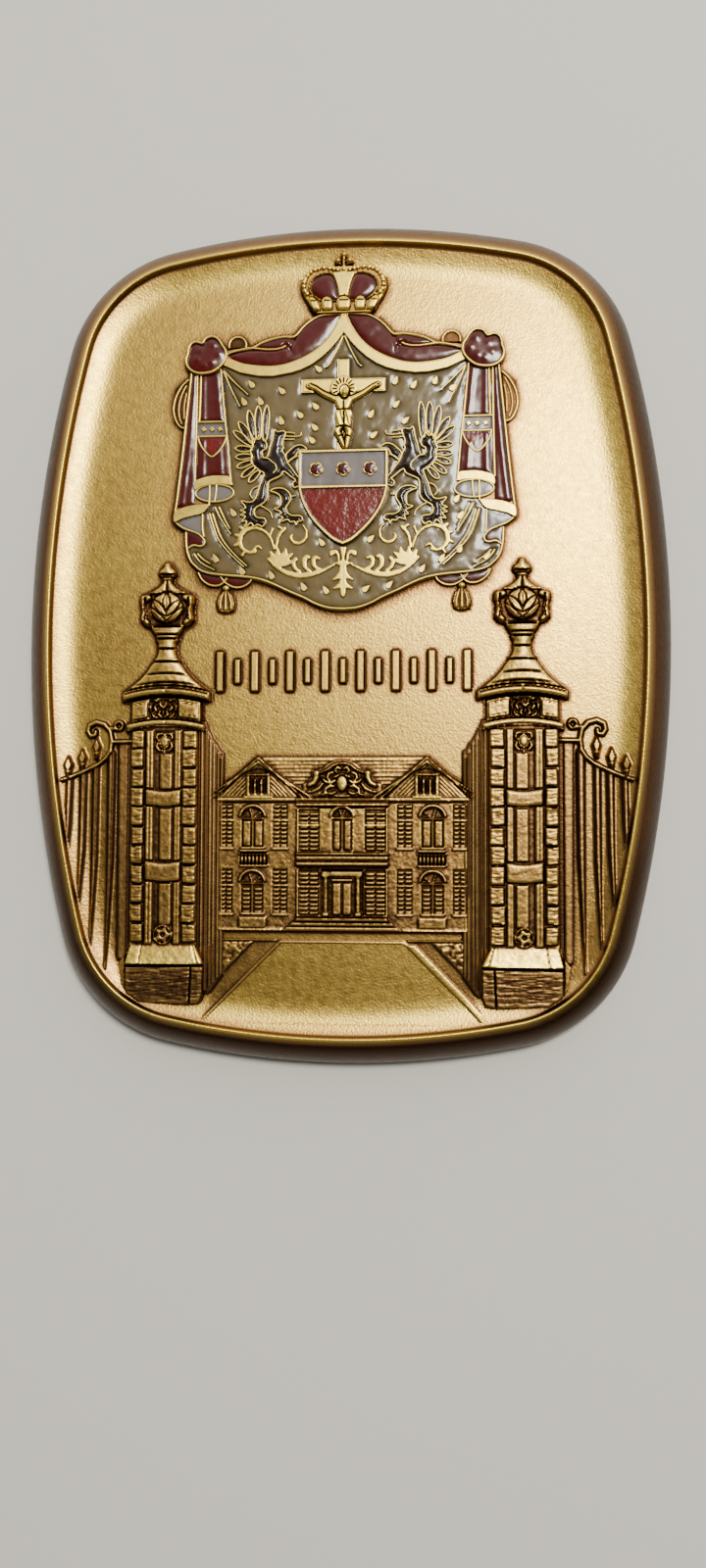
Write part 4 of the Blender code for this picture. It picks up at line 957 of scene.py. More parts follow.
# The mantle is a cloth hung from the crown and knotted at its two upper corners. Its plate stands
# out of the field, and raised lines of bronze on it part the colours of the enamel.
CLOTH = 4.04
CLOTH_LIFT = 0.006
ARMS_STEP = 0.14
ENAMEL = 4.2
LINE_TOP = 4.36
LINE = 0.12
LINE_SECTION = ((-1, -0.4), (-1, -0.06), (-0.7, 0), (0, 0.004), (0.7, 0), (1, -0.06), (1, -0.4))
MANTLE = (
    (0, 35.3), (1.5, 35.33), (2.7, 35.2), (3.8, 34.65), (4.7, 33.8), (5.5, 33.0), (6.8, 32.85),
    (8.3, 32.6), (9.5, 32.15), (10.6, 31.75), (12.9, 31.5), (16.2, 30.6), (16.85, 28.9), (17.3, 24.6),
    (17.8, 19.6), (18.4, 14.4), (18.62, 13.2), (18.45, 12.4), (17.6, 11.85), (17.15, 11.4),
    (17.05, 9.9), (16.85, 8.9), (16.35, 8.05), (15.6, 7.3), (14.7, 6.85), (12.4, 6.5), (10.3, 6.22),
    (8.2, 5.65), (6.2, 4.78), (4.1, 3.82), (2.2, 2.96), (1.1, 2.7), (0, 2.62),
)
CLOTH_FOOT = (
    (17.1, 11.4), (17.0, 9.6), (16.6, 8.35), (15.95, 7.6), (15.2, 7.1), (13.7, 6.75), (10.2, 6.4),
    (8.2, 5.9), (5.7, 4.75), (4.2, 4.1), (3.2, 3.55), (2.2, 3.15), (1.2, 2.92), (0, 2.85),
)
HANGING_LOBES = (
    [(15.75, 7.0), (15.3, 6.2), (14.5, 5.65), (13.6, 5.55), (13.0, 5.85), (12.6, 6.4)],
    [(13.3, 6.5), (12.7, 5.8), (11.8, 5.35), (10.9, 5.4), (10.2, 5.8), (9.9, 6.25)],
)
KNOT = (
    (17.2, 30.4), (17.0, 31.0), (16.95, 31.5), (16.7, 32.05), (16.2, 32.3), (15.75, 32.2),
    (15.4, 32.15), (15.1, 32.6), (14.5, 32.85), (13.9, 32.7), (13.45, 32.2), (13.2, 31.75),
    (12.9, 31.3), (12.8, 30.7), (13.0, 30.1), (13.5, 29.5), (14.2, 29.0), (15.1, 28.8), (16.0, 28.85),
    (16.7, 29.2), (17.1, 29.75),
)
CORD_BED = ((17.2, 28.2, 0.15), (18.1, 27.2, 0.3), (18.35, 25.4, 0.35), (18.1, 23.8, 0.3), (17.5, 23.1, 0.15))
CORD_RING = (11.62, 31.95)


def smooth(points, closed=False, per=6):
    """A soft curve through points laid out one by one."""
    points = np.array(points, float)
    before = np.roll(points, 1, axis=0)
    after = np.roll(points, -1, axis=0)
    beyond = np.roll(points, -2, axis=0)
    if not closed:
        before[0], after[-1], beyond[-1], beyond[-2] = points[0], points[-1], points[-1], points[-1]
    curve = []
    for index in range(len(points) - (0 if closed else 1)):
        a, b, c, d = before[index], points[index], after[index], beyond[index]
        for share in np.arange(per) / per:
            bend = 2 * b + (c - a) * share
            bend = bend + (2 * a - 5 * b + 4 * c - d) * share**2
            bend = bend + (3 * b - a - 3 * c + d) * share**3
            curve.append(tuple(bend / 2))
    if not closed:
        curve.append(tuple(points[-1]))
    return curve


def plates(name, outlines, top, edge, finish, foot=FIELD - 0.3):
    """Flat-topped raised shapes with rounded edges; an outline inside another is a hole in it."""
    curve = bpy.data.curves.new(name, "CURVE")
    curve.dimensions = "2D"
    curve.fill_mode = "BOTH"
    curve.extrude = ((top - foot) / 2 - edge) * MM
    curve.bevel_depth = edge * MM
    curve.bevel_resolution = 2
    curve.offset = -edge * MM
    for outline in outlines:
        spline = curve.splines.new("POLY")
        spline.points.add(len(outline) - 1)
        spline.points.foreach_set("co", [value for px, py in outline for value in (px * MM, py * MM, 0, 1)])
        spline.use_cyclic_u = True
    curve.materials.append(finish)
    made = bpy.data.objects.new(name, curve)
    made.location.z = (top + foot) / 2 * MM
    bpy.context.scene.collection.objects.link(made)
    return made


def rectangle(left, bottom, right, top):
    return [(left, bottom), (right, bottom), (right, top), (left, top)]


def mirrored(right_half):
    """A right half that starts and ends on the middle line, closed with its mirror image."""
    return list(right_half) + [(-x, y) for x, y in reversed(right_half) if x > 0.001]


def on_side(side, points):
    return [(side * point[0], *point[1:]) for point in points]


def wires(name, paths, half, finish, top=LINE_TOP, closed=False):
    """Raised lines of the die: flat-backed ridges of bronze with their edges rounded off."""
    points, faces = [], []
    for path in paths:
        middle = np.array([place[:2] for place in path])
        thickness = np.array([place[2] if len(place) > 2 else 1.0 for place in path])
        if closed:
            ahead = np.roll(middle, -1, axis=0) - np.roll(middle, 1, axis=0)
        else:
            ahead = np.gradient(middle, axis=0)
        ahead /= np.maximum(np.hypot(*ahead.T), 1e-6)[:, None]
        across = np.column_stack([-ahead[:, 1], ahead[:, 0]]) * (half * thickness)[:, None]
        first, count, width = sum(len(each) for each in points), len(middle), len(LINE_SECTION)
        rows = [
            np.column_stack([middle + across * place, np.full(count, top + height)])
            for place, height in LINE_SECTION
        ]
        points.append(np.stack(rows, axis=1).reshape(-1, 3))
        for here in range(count if closed else count - 1):
            there = (here + 1) % count
            for place in range(width - 1):
                a, b = first + here * width + place, first + there * width + place
                faces.append([a, a + 1, b + 1, b])
        if not closed:
            faces.append([first + place for place in range(width)][::-1])
            faces.append([first + (count - 1) * width + place for place in range(width)])
    return mesh_piece(name, np.concatenate(points) * MM, faces, finish)


def mantle_plate():
    return plates("mantle_plate", [smooth(mirrored(MANTLE), closed=True, per=4)], CLOTH, 0.12, RELIEF_BRONZE)


def arms_ground():
    """The strip of field all round the arms, with painted shadow along their foot, broader below them."""
    x, y = grid((-20.0, 1.0, 20.0, 37.0), ARMS_STEP)
    away = np.abs(x)
    edge = in_outline(x, y, smooth(mirrored(MANTLE), closed=True, per=4))
    for lobe in HANGING_LOBES:
        edge = np.minimum(edge, in_outline(away, y, lobe))
    edge = np.minimum(edge, in_outline(away, y, smooth(KNOT, closed=True, per=2)))
    edge = np.minimum(edge, np.hypot(away - CORD_RING[0], y - CORD_RING[1]) - 1.0)
    edge = np.minimum(edge, in_stroke(away, y, CORD_BED))
    z = np.full(x.shape, GROUND)
    reach = 0.28 + 0.24 * np.clip((13.0 - y) / 8.0, 0, 1)
    tone = 0.8 * np.exp(-np.clip(edge - 0.1, 0, 9) / reach)
    return relief("arms_ground", x, y, z, (edge > -0.3) & (edge < 1.3), FIELD_BRONZE, tone)


settle(arms_ground(), "bronze")
settle(mantle_plate(), "bronze")


# Enamel is poured cold into the recesses and sets glossy, with a slow ripple and a little hollow
# along every raised line. It is olive on the inside of the cloth.
SEEDS = {
    -1: (
        (10.1, 27.6), (6.8, 26.8), (3.1, 25.0), (9.1, 25.7), (10.9, 25.7), (4.8, 24.1), (6.8, 23.5),
        (3.2, 22.7), (3.5, 21.3), (12.0, 13.5), (13.9, 8.5), (11.0, 7.1), (7.8, 6.6), (4.3, 5.3),
        (1.9, 4.9), (2.35, 10.1), (2.8, 29.1),
    ),
    1: (
        (5.6, 27.6), (7.6, 27.1), (9.9, 27.5), (11.8, 26.7), (5.7, 25.0), (3.0, 24.0), (6.7, 23.2),
        (3.3, 21.7), (12.2, 14.6), (12.6, 12.8), (12.5, 9.2), (10.6, 8.2), (15.4, 8.4), (8.5, 7.1),
        (5.0, 5.4), (2.5, 5.0), (3.0, 10.4),
    ),
}
SEED_LENGTH = 0.56
LINING_STEP = 0.16
FOLDS = (
    [(13.1, 29.0), (12.3, 27.1), (11.3, 25.1)], [(13.1, 29.1), (11.8, 27.7), (10.4, 26.4)],
    [(0.1, 32.6), (0.7, 31.2), (1.55, 29.6), (1.95, 29.25)],
    [(14.55, 13.4), (14.1, 12.0), (13.5, 10.5), (12.2, 8.9), (10.7, 7.5)],
    [(14.2, 13.4), (13.75, 12.0), (13.1, 10.5), (11.8, 8.9), (10.4, 7.6)],
    [(13.95, 14.1), (13.3, 12.8), (12.2, 11.1)], [(13.5, 14.1), (12.9, 12.8), (12.3, 11.7)],
    [(16.2, 9.0), (15.4, 8.0), (13.9, 7.2)], [(15.8, 9.0), (15.2, 8.4), (14.4, 7.9)],
)
LINING_TOP = (
    (0, 33.0), (0.7, 32.0), (1.5, 31.1), (2.5, 30.2), (3.5, 29.5), (4.6, 29.0), (5.6, 28.7),
    (7.7, 28.35), (9.2, 28.4), (11.2, 28.8), (13.2, 29.7),
)
LINING = (
    *LINING_TOP, (12.95, 26.5), (12.75, 24.0), (12.55, 21.0), (12.3, 17.5), (12.2, 16.4), (12.3, 15.6),
    (12.9, 14.9), (14.2, 14.5), (14.7, 13.9), (15.2, 13.4), (15.25, 10.9), (15.1, 10.3), (14.95, 9.9),
    (15.6, 9.7), (16.4, 9.9), *CLOTH_FOOT[1:],
)
SHIELD = (
    (0, 20.05), (4.8, 20.05), (4.8, 15.9), (4.45, 14.6), (3.9, 13.4), (3.1, 12.2), (2.0, 11.05),
    (1.0, 10.2), (0, 9.75),
)
GRIFFIN_BODY = (
    (7.5, 22.45), (7.15, 22.2), (6.45, 22.3), (6.3, 21.9), (6.5, 21.4), (6.65, 20.8), (6.5, 20.45),
    (6.65, 20.1), (6.35, 19.6), (6.05, 18.8), (5.55, 18.1), (5.05, 17.4), (4.6, 16.9), (4.4, 16.4),
    (4.5, 15.85), (4.8, 16.2), (5.3, 16.05), (5.5, 16.5), (5.15, 16.85), (5.65, 17.25), (6.1, 17.65),
    (6.5, 17.85), (6.75, 17.4), (7.5, 17.05), (8.05, 16.75), (8.2, 16.2), (8.2, 15.2), (8.45, 14.6),
    (9.0, 14.2), (9.5, 13.9), (9.65, 13.3), (9.3, 12.85), (8.55, 12.75), (8.4, 12.35), (8.75, 11.85),
    (9.25, 12.1), (9.65, 11.85), (10.0, 12.3), (10.65, 11.75), (10.45, 12.5), (11.0, 12.45),
    (10.6, 13.0), (11.15, 13.15), (10.6, 13.45), (11.15, 13.65), (10.55, 13.95), (11.1, 14.7),
    (10.3, 14.55), (9.75, 14.65), (9.4, 15.2), (9.1, 16.2), (8.75, 17.1), (8.6, 17.7), (9.1, 18.0),
    (9.7, 18.55), (10.0, 19.0), (9.9, 19.6), (10.1, 20.2), (9.8, 20.7), (9.9, 21.4), (9.3, 21.6),
    (9.15, 21.95), (8.7, 21.5), (8.35, 20.9), (8.45, 20.35), (8.85, 20.1), (8.75, 19.5), (8.35, 19.4),
    (8.1, 19.9), (7.95, 20.6), (7.7, 21.4),
)
RAISED_LEG = (
    (6.25, 19.65), (5.8, 20.15), (5.2, 20.6), (4.6, 20.7), (4.15, 20.45), (4.0, 20.2), (4.7, 20.15),
    (4.95, 19.9), (5.15, 19.5), (5.6, 19.2), (5.95, 18.95), (6.15, 19.1),
)
HIND_LEG = (
    (7.9, 15.75), (7.4, 16.0), (6.7, 16.02), (6.1, 15.75), (5.7, 15.2), (5.7, 14.7), (6.0, 14.2),
    (6.2, 13.8), (6.0, 13.3), (5.5, 13.0), (4.7, 12.97), (4.4, 12.7), (4.5, 12.4), (4.9, 12.35),
    (5.05, 11.95), (5.25, 12.35), (5.7, 12.3), (6.0, 12.6), (6.7, 12.4), (6.55, 12.85), (7.0, 13.0),
    (6.7, 13.4), (7.5, 13.8), (6.85, 14.0), (6.75, 14.9), (7.0, 15.35), (7.5, 15.6),
)


def enamel(name, colour, deep_and_shaded, ripple, size=1100.0):
    """Glossy cold enamel, darker against the metal, where it is deep and where painted shade falls."""
    made = bpy.data.materials.new(name)
    made.use_nodes = True
    tree = made.node_tree
    shader = tree.nodes["Principled BSDF"]
    shader.inputs["Roughness"].default_value = 0.2
    shader.inputs["Coat Weight"].default_value = 0.25
    shader.inputs["Coat Roughness"].default_value = 0.06
    patina_and_shade = tree.nodes.new("ShaderNodeAttribute")
    patina_and_shade.attribute_name = "patina_and_shade"
    cloud = spread_node(tree, noise_node(tree, 420.0, 4.0), 0.3, 0.7, -0.14, 0.14)
    # Occlusion and the per-point tone darken the enamel in its corners as painted shade.
    tone = sum_node(tree, patina_and_shade.outputs["Fac"], hollow_node(tree, 0.45, 0.7))
    mix = tree.nodes.new("ShaderNodeMix")
    mix.data_type = "RGBA"
    mix.inputs["A"].default_value = (*colour, 1.0)
    mix.inputs["B"].default_value = (*deep_and_shaded, 1.0)
    tree.links.new(sum_node(tree, tone, cloud, clamped=True), mix.inputs["Factor"])
    tree.links.new(mix.outputs["Result"], shader.inputs["Base Color"])
    bump_node(tree, noise_node(tree, size, 2.0), ripple)
    return made


def seed_outline(x, y, lean):
    """A drop: pointed at its upper end, round at its lower one."""
    turns = np.linspace(0, 2 * math.pi, 16, endpoint=False)
    along = np.cos(turns) * SEED_LENGTH
    across = np.sin(turns) * SEED_LENGTH * (0.54 - 0.3 * np.cos(turns))
    cosine, sine = math.cos(lean), math.sin(lean)
    return [(x + a * cosine - b * sine, y + a * sine + b * cosine) for a, b in zip(along, across)]


def in_cross(x, y):
    """Distance outside the cross over the shield, negative inside it."""
    return np.minimum(in_box(x, y, -0.7, 19.9, 0.7, 30.1), in_box(x, y, -4.6, 26.4, 4.6, 27.92))


def lining():
    """The olive sheet: it sinks a little round each seed and along each line."""
    x, y = grid((-17.3, 2.6, 17.3, 33.2), LINING_STEP)
    outline = smooth(mirrored(LINING), closed=True, per=2)
    edge = in_outline(x, y, outline)
    near = np.abs(edge)
    for side, places in SEEDS.items():
        for seed_x, seed_y in places:
            near = np.minimum(near, np.abs(np.hypot(x - side * seed_x, y - seed_y) - 0.25))
    for _, side in SIDES:
        for fold in FOLDS:
            near = np.minimum(near, in_stroke(x, y, [(*point, 0.1) for point in on_side(side, fold)]))
    near = np.minimum(near, np.abs(in_outline(x, y, mirrored(SHIELD))))
    near = np.minimum(near, np.abs(in_cross(x, y)))
    for shape in (GRIFFIN_BODY, RAISED_LEG, HIND_LEG):
        near = np.minimum(near, np.abs(in_outline(np.abs(x), y, shape)))
    z = ENAMEL - 0.09 * np.exp(-near / 0.3) + 0.02 * mottle(x, y, 1.1, 101) + 0.012 * mottle(x, y, 0.5, 102)
    # Painted shade darkens the olive round each seed, fold line, shape and the edge of the sheet.
    tone = 0.95 * np.exp(-near / 0.26)
    return relief("lining_enamel", x, y, z, edge < 0.14, OLIVE_ENAMEL, tone)


def seeds():
    rng = np.random.default_rng(7)
    outlines = []
    for side, places in SEEDS.items():
        for seed_x, seed_y in places:
            lean = math.radians(122 if side < 0 else 55) + rng.uniform(-0.3, 0.3)
            outlines.append(seed_outline(side * seed_x, seed_y, lean))
    return plates("gold_seeds", outlines, LINE_TOP - 0.02, 0.09, LINE_BRONZE, CLOTH)


def fold_lines():
    paths = [smooth(on_side(side, fold)) for _, side in SIDES for fold in FOLDS]
    tapered = [
        [(*point, 1.15 - 0.7 * index / len(path)) for index, point in enumerate(path)]
        for path in paths
    ]
    return wires("fold_lines", tapered, LINE, LINE_BRONZE)


OLIVE_ENAMEL = enamel("olive enamel", (0.172, 0.126, 0.055), (0.03, 0.022, 0.007), 0.02)
settle(lining(), "enamel_olive", "mantle_lining_olive")
settle(seeds(), "bronze")
settle(fold_lines(), "bronze")
foot_lines = [smooth(on_side(side, CLOTH_FOOT)) for _, side in SIDES]
settle(wires("cloth_foot_line", foot_lines, LINE, LINE_BRONZE), "bronze")


# The outside of the cloth is red: two swags under the crown, a knot at each corner and a hanging
# curtain below it, each pool of enamel bulging like a fold, with a broad plain hem of bronze.
SWAG = (
    (0.4, 35.08), (1.7, 35.05), (2.7, 34.9), (3.6, 34.4), (4.4, 33.75), (5.4, 32.7), (6.6, 32.68),
    (7.8, 32.45), (8.9, 32.1), (9.9, 31.6), (11.4, 31.35), (12.6, 31.05), (12.65, 30.55), (11.5, 29.95),
    (10.2, 29.62), (8.2, 29.42), (6.6, 29.55), (5.4, 29.9), (4.2, 30.4), (2.9, 31.2), (1.75, 32.3),
    (0.95, 33.5), (0.55, 34.3),
)
SWAG_FOLDS = (
    [
        (12.5, 31.05), (11.5, 31.35), (10.4, 31.55), (9.6, 31.5), (8.4, 31.35), (7.4, 31.35),
        (6.7, 31.5), (6.3, 31.7),
    ],
    [(9.8, 31.6), (8.9, 32.15), (7.8, 32.5), (6.6, 32.7), (5.5, 32.68)],
)
SWAG_CREASES = (
    [(6.4, 31.7, 0.1), (5.9, 31.3, 0.12), (5.75, 30.9, 0.05)],
    [(5.4, 32.7, 0.1), (5.6, 32.0, 0.12), (5.85, 31.3, 0.1)],
)
HEM = (
    (0, 35.3), (0.3, 35.25), (0.5, 34.3), (0.95, 33.5), (1.75, 32.3), (2.9, 31.2), (4.2, 30.4),
    (5.4, 29.9), (6.6, 29.55), (8.2, 29.42), (10.2, 29.62), (11.5, 30.0), (12.8, 30.6), (13.3, 29.75),
    *LINING_TOP[-2::-1],
)
KNOT_BUMPS = ((16.0, 30.4), (14.2, 32.0), (13.6, 31.0), (14.4, 30.0), (15.6, 31.4), (15.2, 29.7))
KNOT_TOP = 4.7
KNOT_STEP = 0.1
TASSEL_STEP = 0.07
TASSEL_SKIRT = (
    (12.45, 4.95), (12.95, 4.95), (13.4, 4.5), (13.65, 3.6), (13.5, 2.8), (12.7, 2.6), (11.9, 2.8),
    (11.75, 3.6), (12.0, 4.5),
)
CORD_LOOP = (
    (17.0, 28.35), (17.75, 27.6), (18.4, 26.4), (18.65, 25.1), (18.45, 24.0), (17.95, 23.15), (17.4, 22.95),
)
CORD_STRANDS = (
    [(17.3, 27.7), (17.85, 26.5), (18.1, 25.2), (18.0, 24.1), (17.75, 23.45)],
    [(17.25, 26.9), (17.5, 25.4), (17.5, 24.0)],
)
CURTAIN_POOLS = {
    "edge": (
        (16.05, 29.0), (16.6, 29.0), (17.05, 24.6), (17.5, 19.6), (18.1, 14.3), (17.2, 14.1),
        (16.2, 14.5), (16.3, 15.6), (16.15, 17.0),
    ),
    "upper": ((13.45, 29.1), (15.7, 29.1), (15.85, 23.6), (12.95, 23.6)),
    "lower": ((12.6, 21.9), (15.9, 21.9), (16.0, 17.0), (15.2, 17.4), (13.8, 17.6), (12.25, 17.4)),
}
CURTAIN_RIDGES = (
    [(16.25, 29.0, 0), (16.6, 24.0, 0), (17.05, 19.0, 0), (17.6, 14.5, 0)],
    [(15.35, 28.8, 0), (15.3, 23.8, 0)],
    [(13.95, 28.8, 0), (13.4, 23.7, 0)], [(15.3, 21.5, 0), (15.35, 17.5, 0)],
    [(13.5, 20.5, 0), (13.3, 17.6, 0)],
)
CURTAIN_LINES = (
    [(16.65, 29.0), (17.1, 24.6), (17.6, 19.6), (18.1, 15.2), (18.3, 13.7)],
    [(16.0, 29.1), (16.05, 24.0), (16.15, 19.0), (16.2, 16.9)],
    [(15.6, 28.9), (15.65, 26.0), (15.75, 23.6)],
    [(13.45, 29.3), (12.95, 24.0), (12.6, 21.0), (12.3, 17.5), (12.15, 16.5)],
    [(12.85, 23.5), (15.95, 23.5)], [(12.7, 21.9), (15.95, 21.9)],
    [(12.7, 21.9), (13.05, 21.0), (13.65, 20.15), (14.35, 19.65), (15.0, 20.15), (15.6, 21.0), (15.9, 21.9)],
    [(13.8, 16.6), (13.85, 15.6), (14.0, 14.75)], [(14.55, 16.6), (14.55, 15.6), (14.6, 14.3)],
    [(15.3, 13.35), (15.3, 11.9), (15.15, 10.9)],
    [
        (18.15, 12.4), (17.4, 11.85), (16.5, 11.5), (15.7, 11.15), (15.1, 10.5), (15.15, 10.0),
        (15.6, 9.85), (16.3, 9.95), (16.95, 9.55),
    ],
)
INNER_HEM = (
    (16.15, 16.95), (15.5, 17.3), (14.4, 17.55), (13.2, 17.55), (12.35, 17.4), (12.2, 16.5),
    (13.1, 16.6), (14.4, 16.55), (15.5, 16.35), (16.2, 16.0),
)
OUTER_HEM = (
    (18.4, 13.6), (17.6, 14.05), (16.7, 14.3), (15.7, 14.4), (14.65, 14.4), (14.9, 13.8), (15.4, 13.4),
    (16.5, 13.15), (17.6, 12.85), (18.4, 12.5),
)
INNER_CURL = (14.0, 15.65, 2.1, 0.95)
OUTER_CURL = (
    (15.35, 13.3), (16.5, 13.05), (17.6, 12.75), (18.1, 12.4), (17.4, 11.9), (16.5, 11.55),
    (15.35, 11.0),
)
FOOT_POOL = (
    (17.0, 11.5), (16.4, 11.4), (15.6, 11.1), (15.1, 10.6), (15.15, 10.0), (15.6, 9.85), (16.3, 9.95),
    (16.95, 9.6),
)
CHIEF = ((12.8, 21.95), (15.9, 21.95), (15.95, 23.5), (12.9, 23.5))
SMALL_SHIELD = (
    (12.75, 21.85), (13.05, 21.0), (13.65, 20.15), (14.35, 19.65), (15.0, 20.15), (15.6, 21.0),
    (15.9, 21.85),
)


def pool(name, outline, level, bulge, width, finish, nodes, slot, side=1, step=0.13, ridges=(), creases=()):
    """A fill of enamel with a rounded back, run under the metal lines that bound it."""
    outline = on_side(side, outline)
    xs, ys = [point[0] for point in outline], [point[1] for point in outline]
    x, y = grid((min(xs) - 0.2, min(ys) - 0.2, max(xs) + 0.2, max(ys) + 0.2), step)
    edge = in_outline(x, y, outline)
    z = level + bulge * swell(edge, width) + 0.012 * mottle(x, y, 0.7, 110) - 0.05 * ramp(edge, 0.3)
    for ridge in ridges:
        z = z + 0.06 * np.exp(-((in_stroke(np.abs(x), y, ridge) / 0.3) ** 2))
    for crease in creases:
        z = z - 0.14 * np.exp(-((np.maximum(in_stroke(np.abs(x), y, crease), 0) / 0.16) ** 2))
    # Painted shade darkens the enamel along the metal lines that bound it.
    tone = 0.5 * np.exp(-np.abs(edge) / 0.2)
    made = relief(name, x, y, z, edge < 0.12, finish, tone)
    settle(made, slot, *nodes)


def lobed(centre, radius, lobes, depth, steps):
    turns = np.linspace(0, 2 * math.pi, steps, endpoint=False)
    reach = radius * (1 - depth + depth * np.abs(np.cos(turns * lobes / 2 + 0.5)) ** 0.6)
    return [(centre[0] + r * math.cos(t), centre[1] + r * math.sin(t)) for r, t in zip(reach, turns)]


def knot(word, side):
    """The gathered knot: a lobed boss of enamel with a few soft swellings, edged in bronze."""
    outline = smooth(on_side(side, KNOT), closed=True, per=4)
    settle(plates(f"knot_boss_{word}", [outline], KNOT_TOP - 0.34, 0.1, RELIEF_BRONZE), "bronze")
    settle(wires(f"knot_edge_{word}", [outline], 0.13, LINE_BRONZE, KNOT_TOP + 0.02, closed=True), "bronze")
    x, y = grid((side * 15 - 2.6, 28.3, side * 15 + 2.6, 33.4), KNOT_STEP)
    edge = in_outline(x, y, outline)
    z = KNOT_TOP - 0.3 + 0.22 * swell(edge, 1.9)
    for bump_x, bump_y in KNOT_BUMPS:
        z = z + 0.06 * np.exp(-(((x - side * bump_x) ** 2 + (y - bump_y) ** 2) / 0.14))
    # Painted shade darkens the enamel along the knot's bronze edge.
    tone = 0.5 * np.exp(-np.abs(edge) / 0.2)
    made = relief(f"knot_enamel_{word}", x, y, z, edge < 0.08, RED_ENAMEL, tone)
    settle(made, "enamel_red", f"knot_red_{word}")
    ring = on_side(side, [tuple(point) for point in arc_points(CORD_RING, 0.95, -0.25, math.pi + 0.25, 20)])
    settle(wires(f"cord_ring_{word}", [ring], 0.11, LINE_BRONZE, 4.2), "bronze")
    settle(plates(f"cord_eye_{word}", [ring], 4.0, 0.1, DARK_BRONZE), "bronze")
    loop = on_side(side, smooth(CORD_LOOP))
    strands = [on_side(side, smooth(strand)) for strand in CORD_STRANDS]
    settle(plates(f"cord_bed_{word}", [loop], 3.95, 0.08, DARK_BRONZE), "bronze")
    settle(wires(f"cord_loop_{word}", [loop], 0.11, LINE_BRONZE, 4.14), "bronze")
    settle(wires(f"cord_strands_{word}", strands, 0.13, RELIEF_BRONZE, 4.06), "bronze")


def hanging_lobes(word, side):
    """Two tails of the knotted cloth show under the curtain, beside the tassel."""
    for index, lobe in enumerate(HANGING_LOBES):
        pool(
            f"hanging_lobe_enamel_{index}_{word}", lobe, CLOTH - 0.06, 0.1, 0.5, RED_ENAMEL, [],
            "enamel_red", side,
        )
    outlines = [smooth(on_side(side, lobe)) for lobe in HANGING_LOBES]
    settle(wires(f"lobe_edges_{word}", outlines, 0.11, LINE_BRONZE, CLOTH + 0.12), "bronze")


def curtain(word, side):
    """The cloth below a knot: three red pools, a small plain shield and the turned-up grey lining."""
    for place, outline in CURTAIN_POOLS.items():
        name, nodes = f"curtain_{place}_enamel_{word}", [f"curtain_{place}_red_{word}"]
        pool(name, outline, ENAMEL, 0.1, 0.5, RED_ENAMEL, nodes, "enamel_red", side, 0.12, CURTAIN_RIDGES)
    pool(f"curtain_foot_enamel_{word}", FOOT_POOL, ENAMEL, 0.08, 0.4, RED_ENAMEL, [], "enamel_red", side)
    pool(f"small_chief_enamel_{word}", CHIEF, ENAMEL, 0.02, 0.3, GREY_ENAMEL, [], "enamel_grey", side)
    pool(
        f"small_shield_enamel_{word}", SMALL_SHIELD, ENAMEL + 0.06, 0.06, 0.6, SHIELD_ENAMEL, [],
        "enamel_red", side,
    )
    inner = [
        tuple(point)
        for point in arc_points((0, 0), 1, 0, 2 * math.pi, 40)[:-1] * INNER_CURL[2:] + INNER_CURL[:2]
    ]
    for place, outline in (("inner", inner), ("outer", OUTER_CURL)):
        name, nodes = f"{place}_curl_enamel_{word}", [f"{place}_curl_grey_{word}"]
        pool(name, outline, ENAMEL, 0.06, 0.6, GREY_ENAMEL, nodes, "enamel_grey", side)
    lines = [smooth(on_side(side, line)) for line in CURTAIN_LINES]
    settle(wires(f"curtain_lines_{word}", lines, LINE, LINE_BRONZE), "bronze")
    settle(wires(f"curl_line_{word}", [on_side(side, inner)], LINE, LINE_BRONZE, closed=True), "bronze")
    hems = [smooth(on_side(side, outline), closed=True, per=3) for outline in (INNER_HEM, OUTER_HEM)]
    settle(plates(f"curtain_hems_{word}", hems, LINE_TOP + 0.03, 0.07, LINE_BRONZE, CLOTH), "bronze")
    dots = [lobed((side * middle, 22.7), 0.3, 4, 0.3, 24) for middle in (13.45, 14.35, 15.25)]
    settle(plates(f"small_rosettes_{word}", dots, LINE_TOP, 0.08, LINE_BRONZE, CLOTH), "bronze")


def tassel(word, side):
    """A tassel under the knotted hem, its strands parted by dark grooves."""
    x, y = grid((11.4, 2.2, 14.0, 6.3), TASSEL_STEP)
    away = x - 12.7
    z = np.full(x.shape, GROUND)
    head = in_oval(x, y, 12.7, 5.25, 0.42, 0.38)
    z = domed(z, head, 3.95, 4.3, 0.4)
    skirt = in_outline(x, y, TASSEL_SKIRT)
    z = domed(z, skirt, 3.95, 4.3, 0.4)
    fan = away / (0.35 + 0.3 * np.clip(4.9 - y, 0, 1.3))
    z = z - 0.17 * (0.5 - 0.5 * np.cos(fan * 7.5)) * ramp(skirt + 0.08, 0.1)
    tone = np.clip(patina_and_shade_of(z, TASSEL_STEP), -0.2, 0.6)
    shown = with_margin(z, TASSEL_STEP, 0.3)
    made = relief(f"tassel_{word}", x, y, z + CLOTH_LIFT, shown, RELIEF_BRONZE, tone, side)
    settle(made, "bronze")


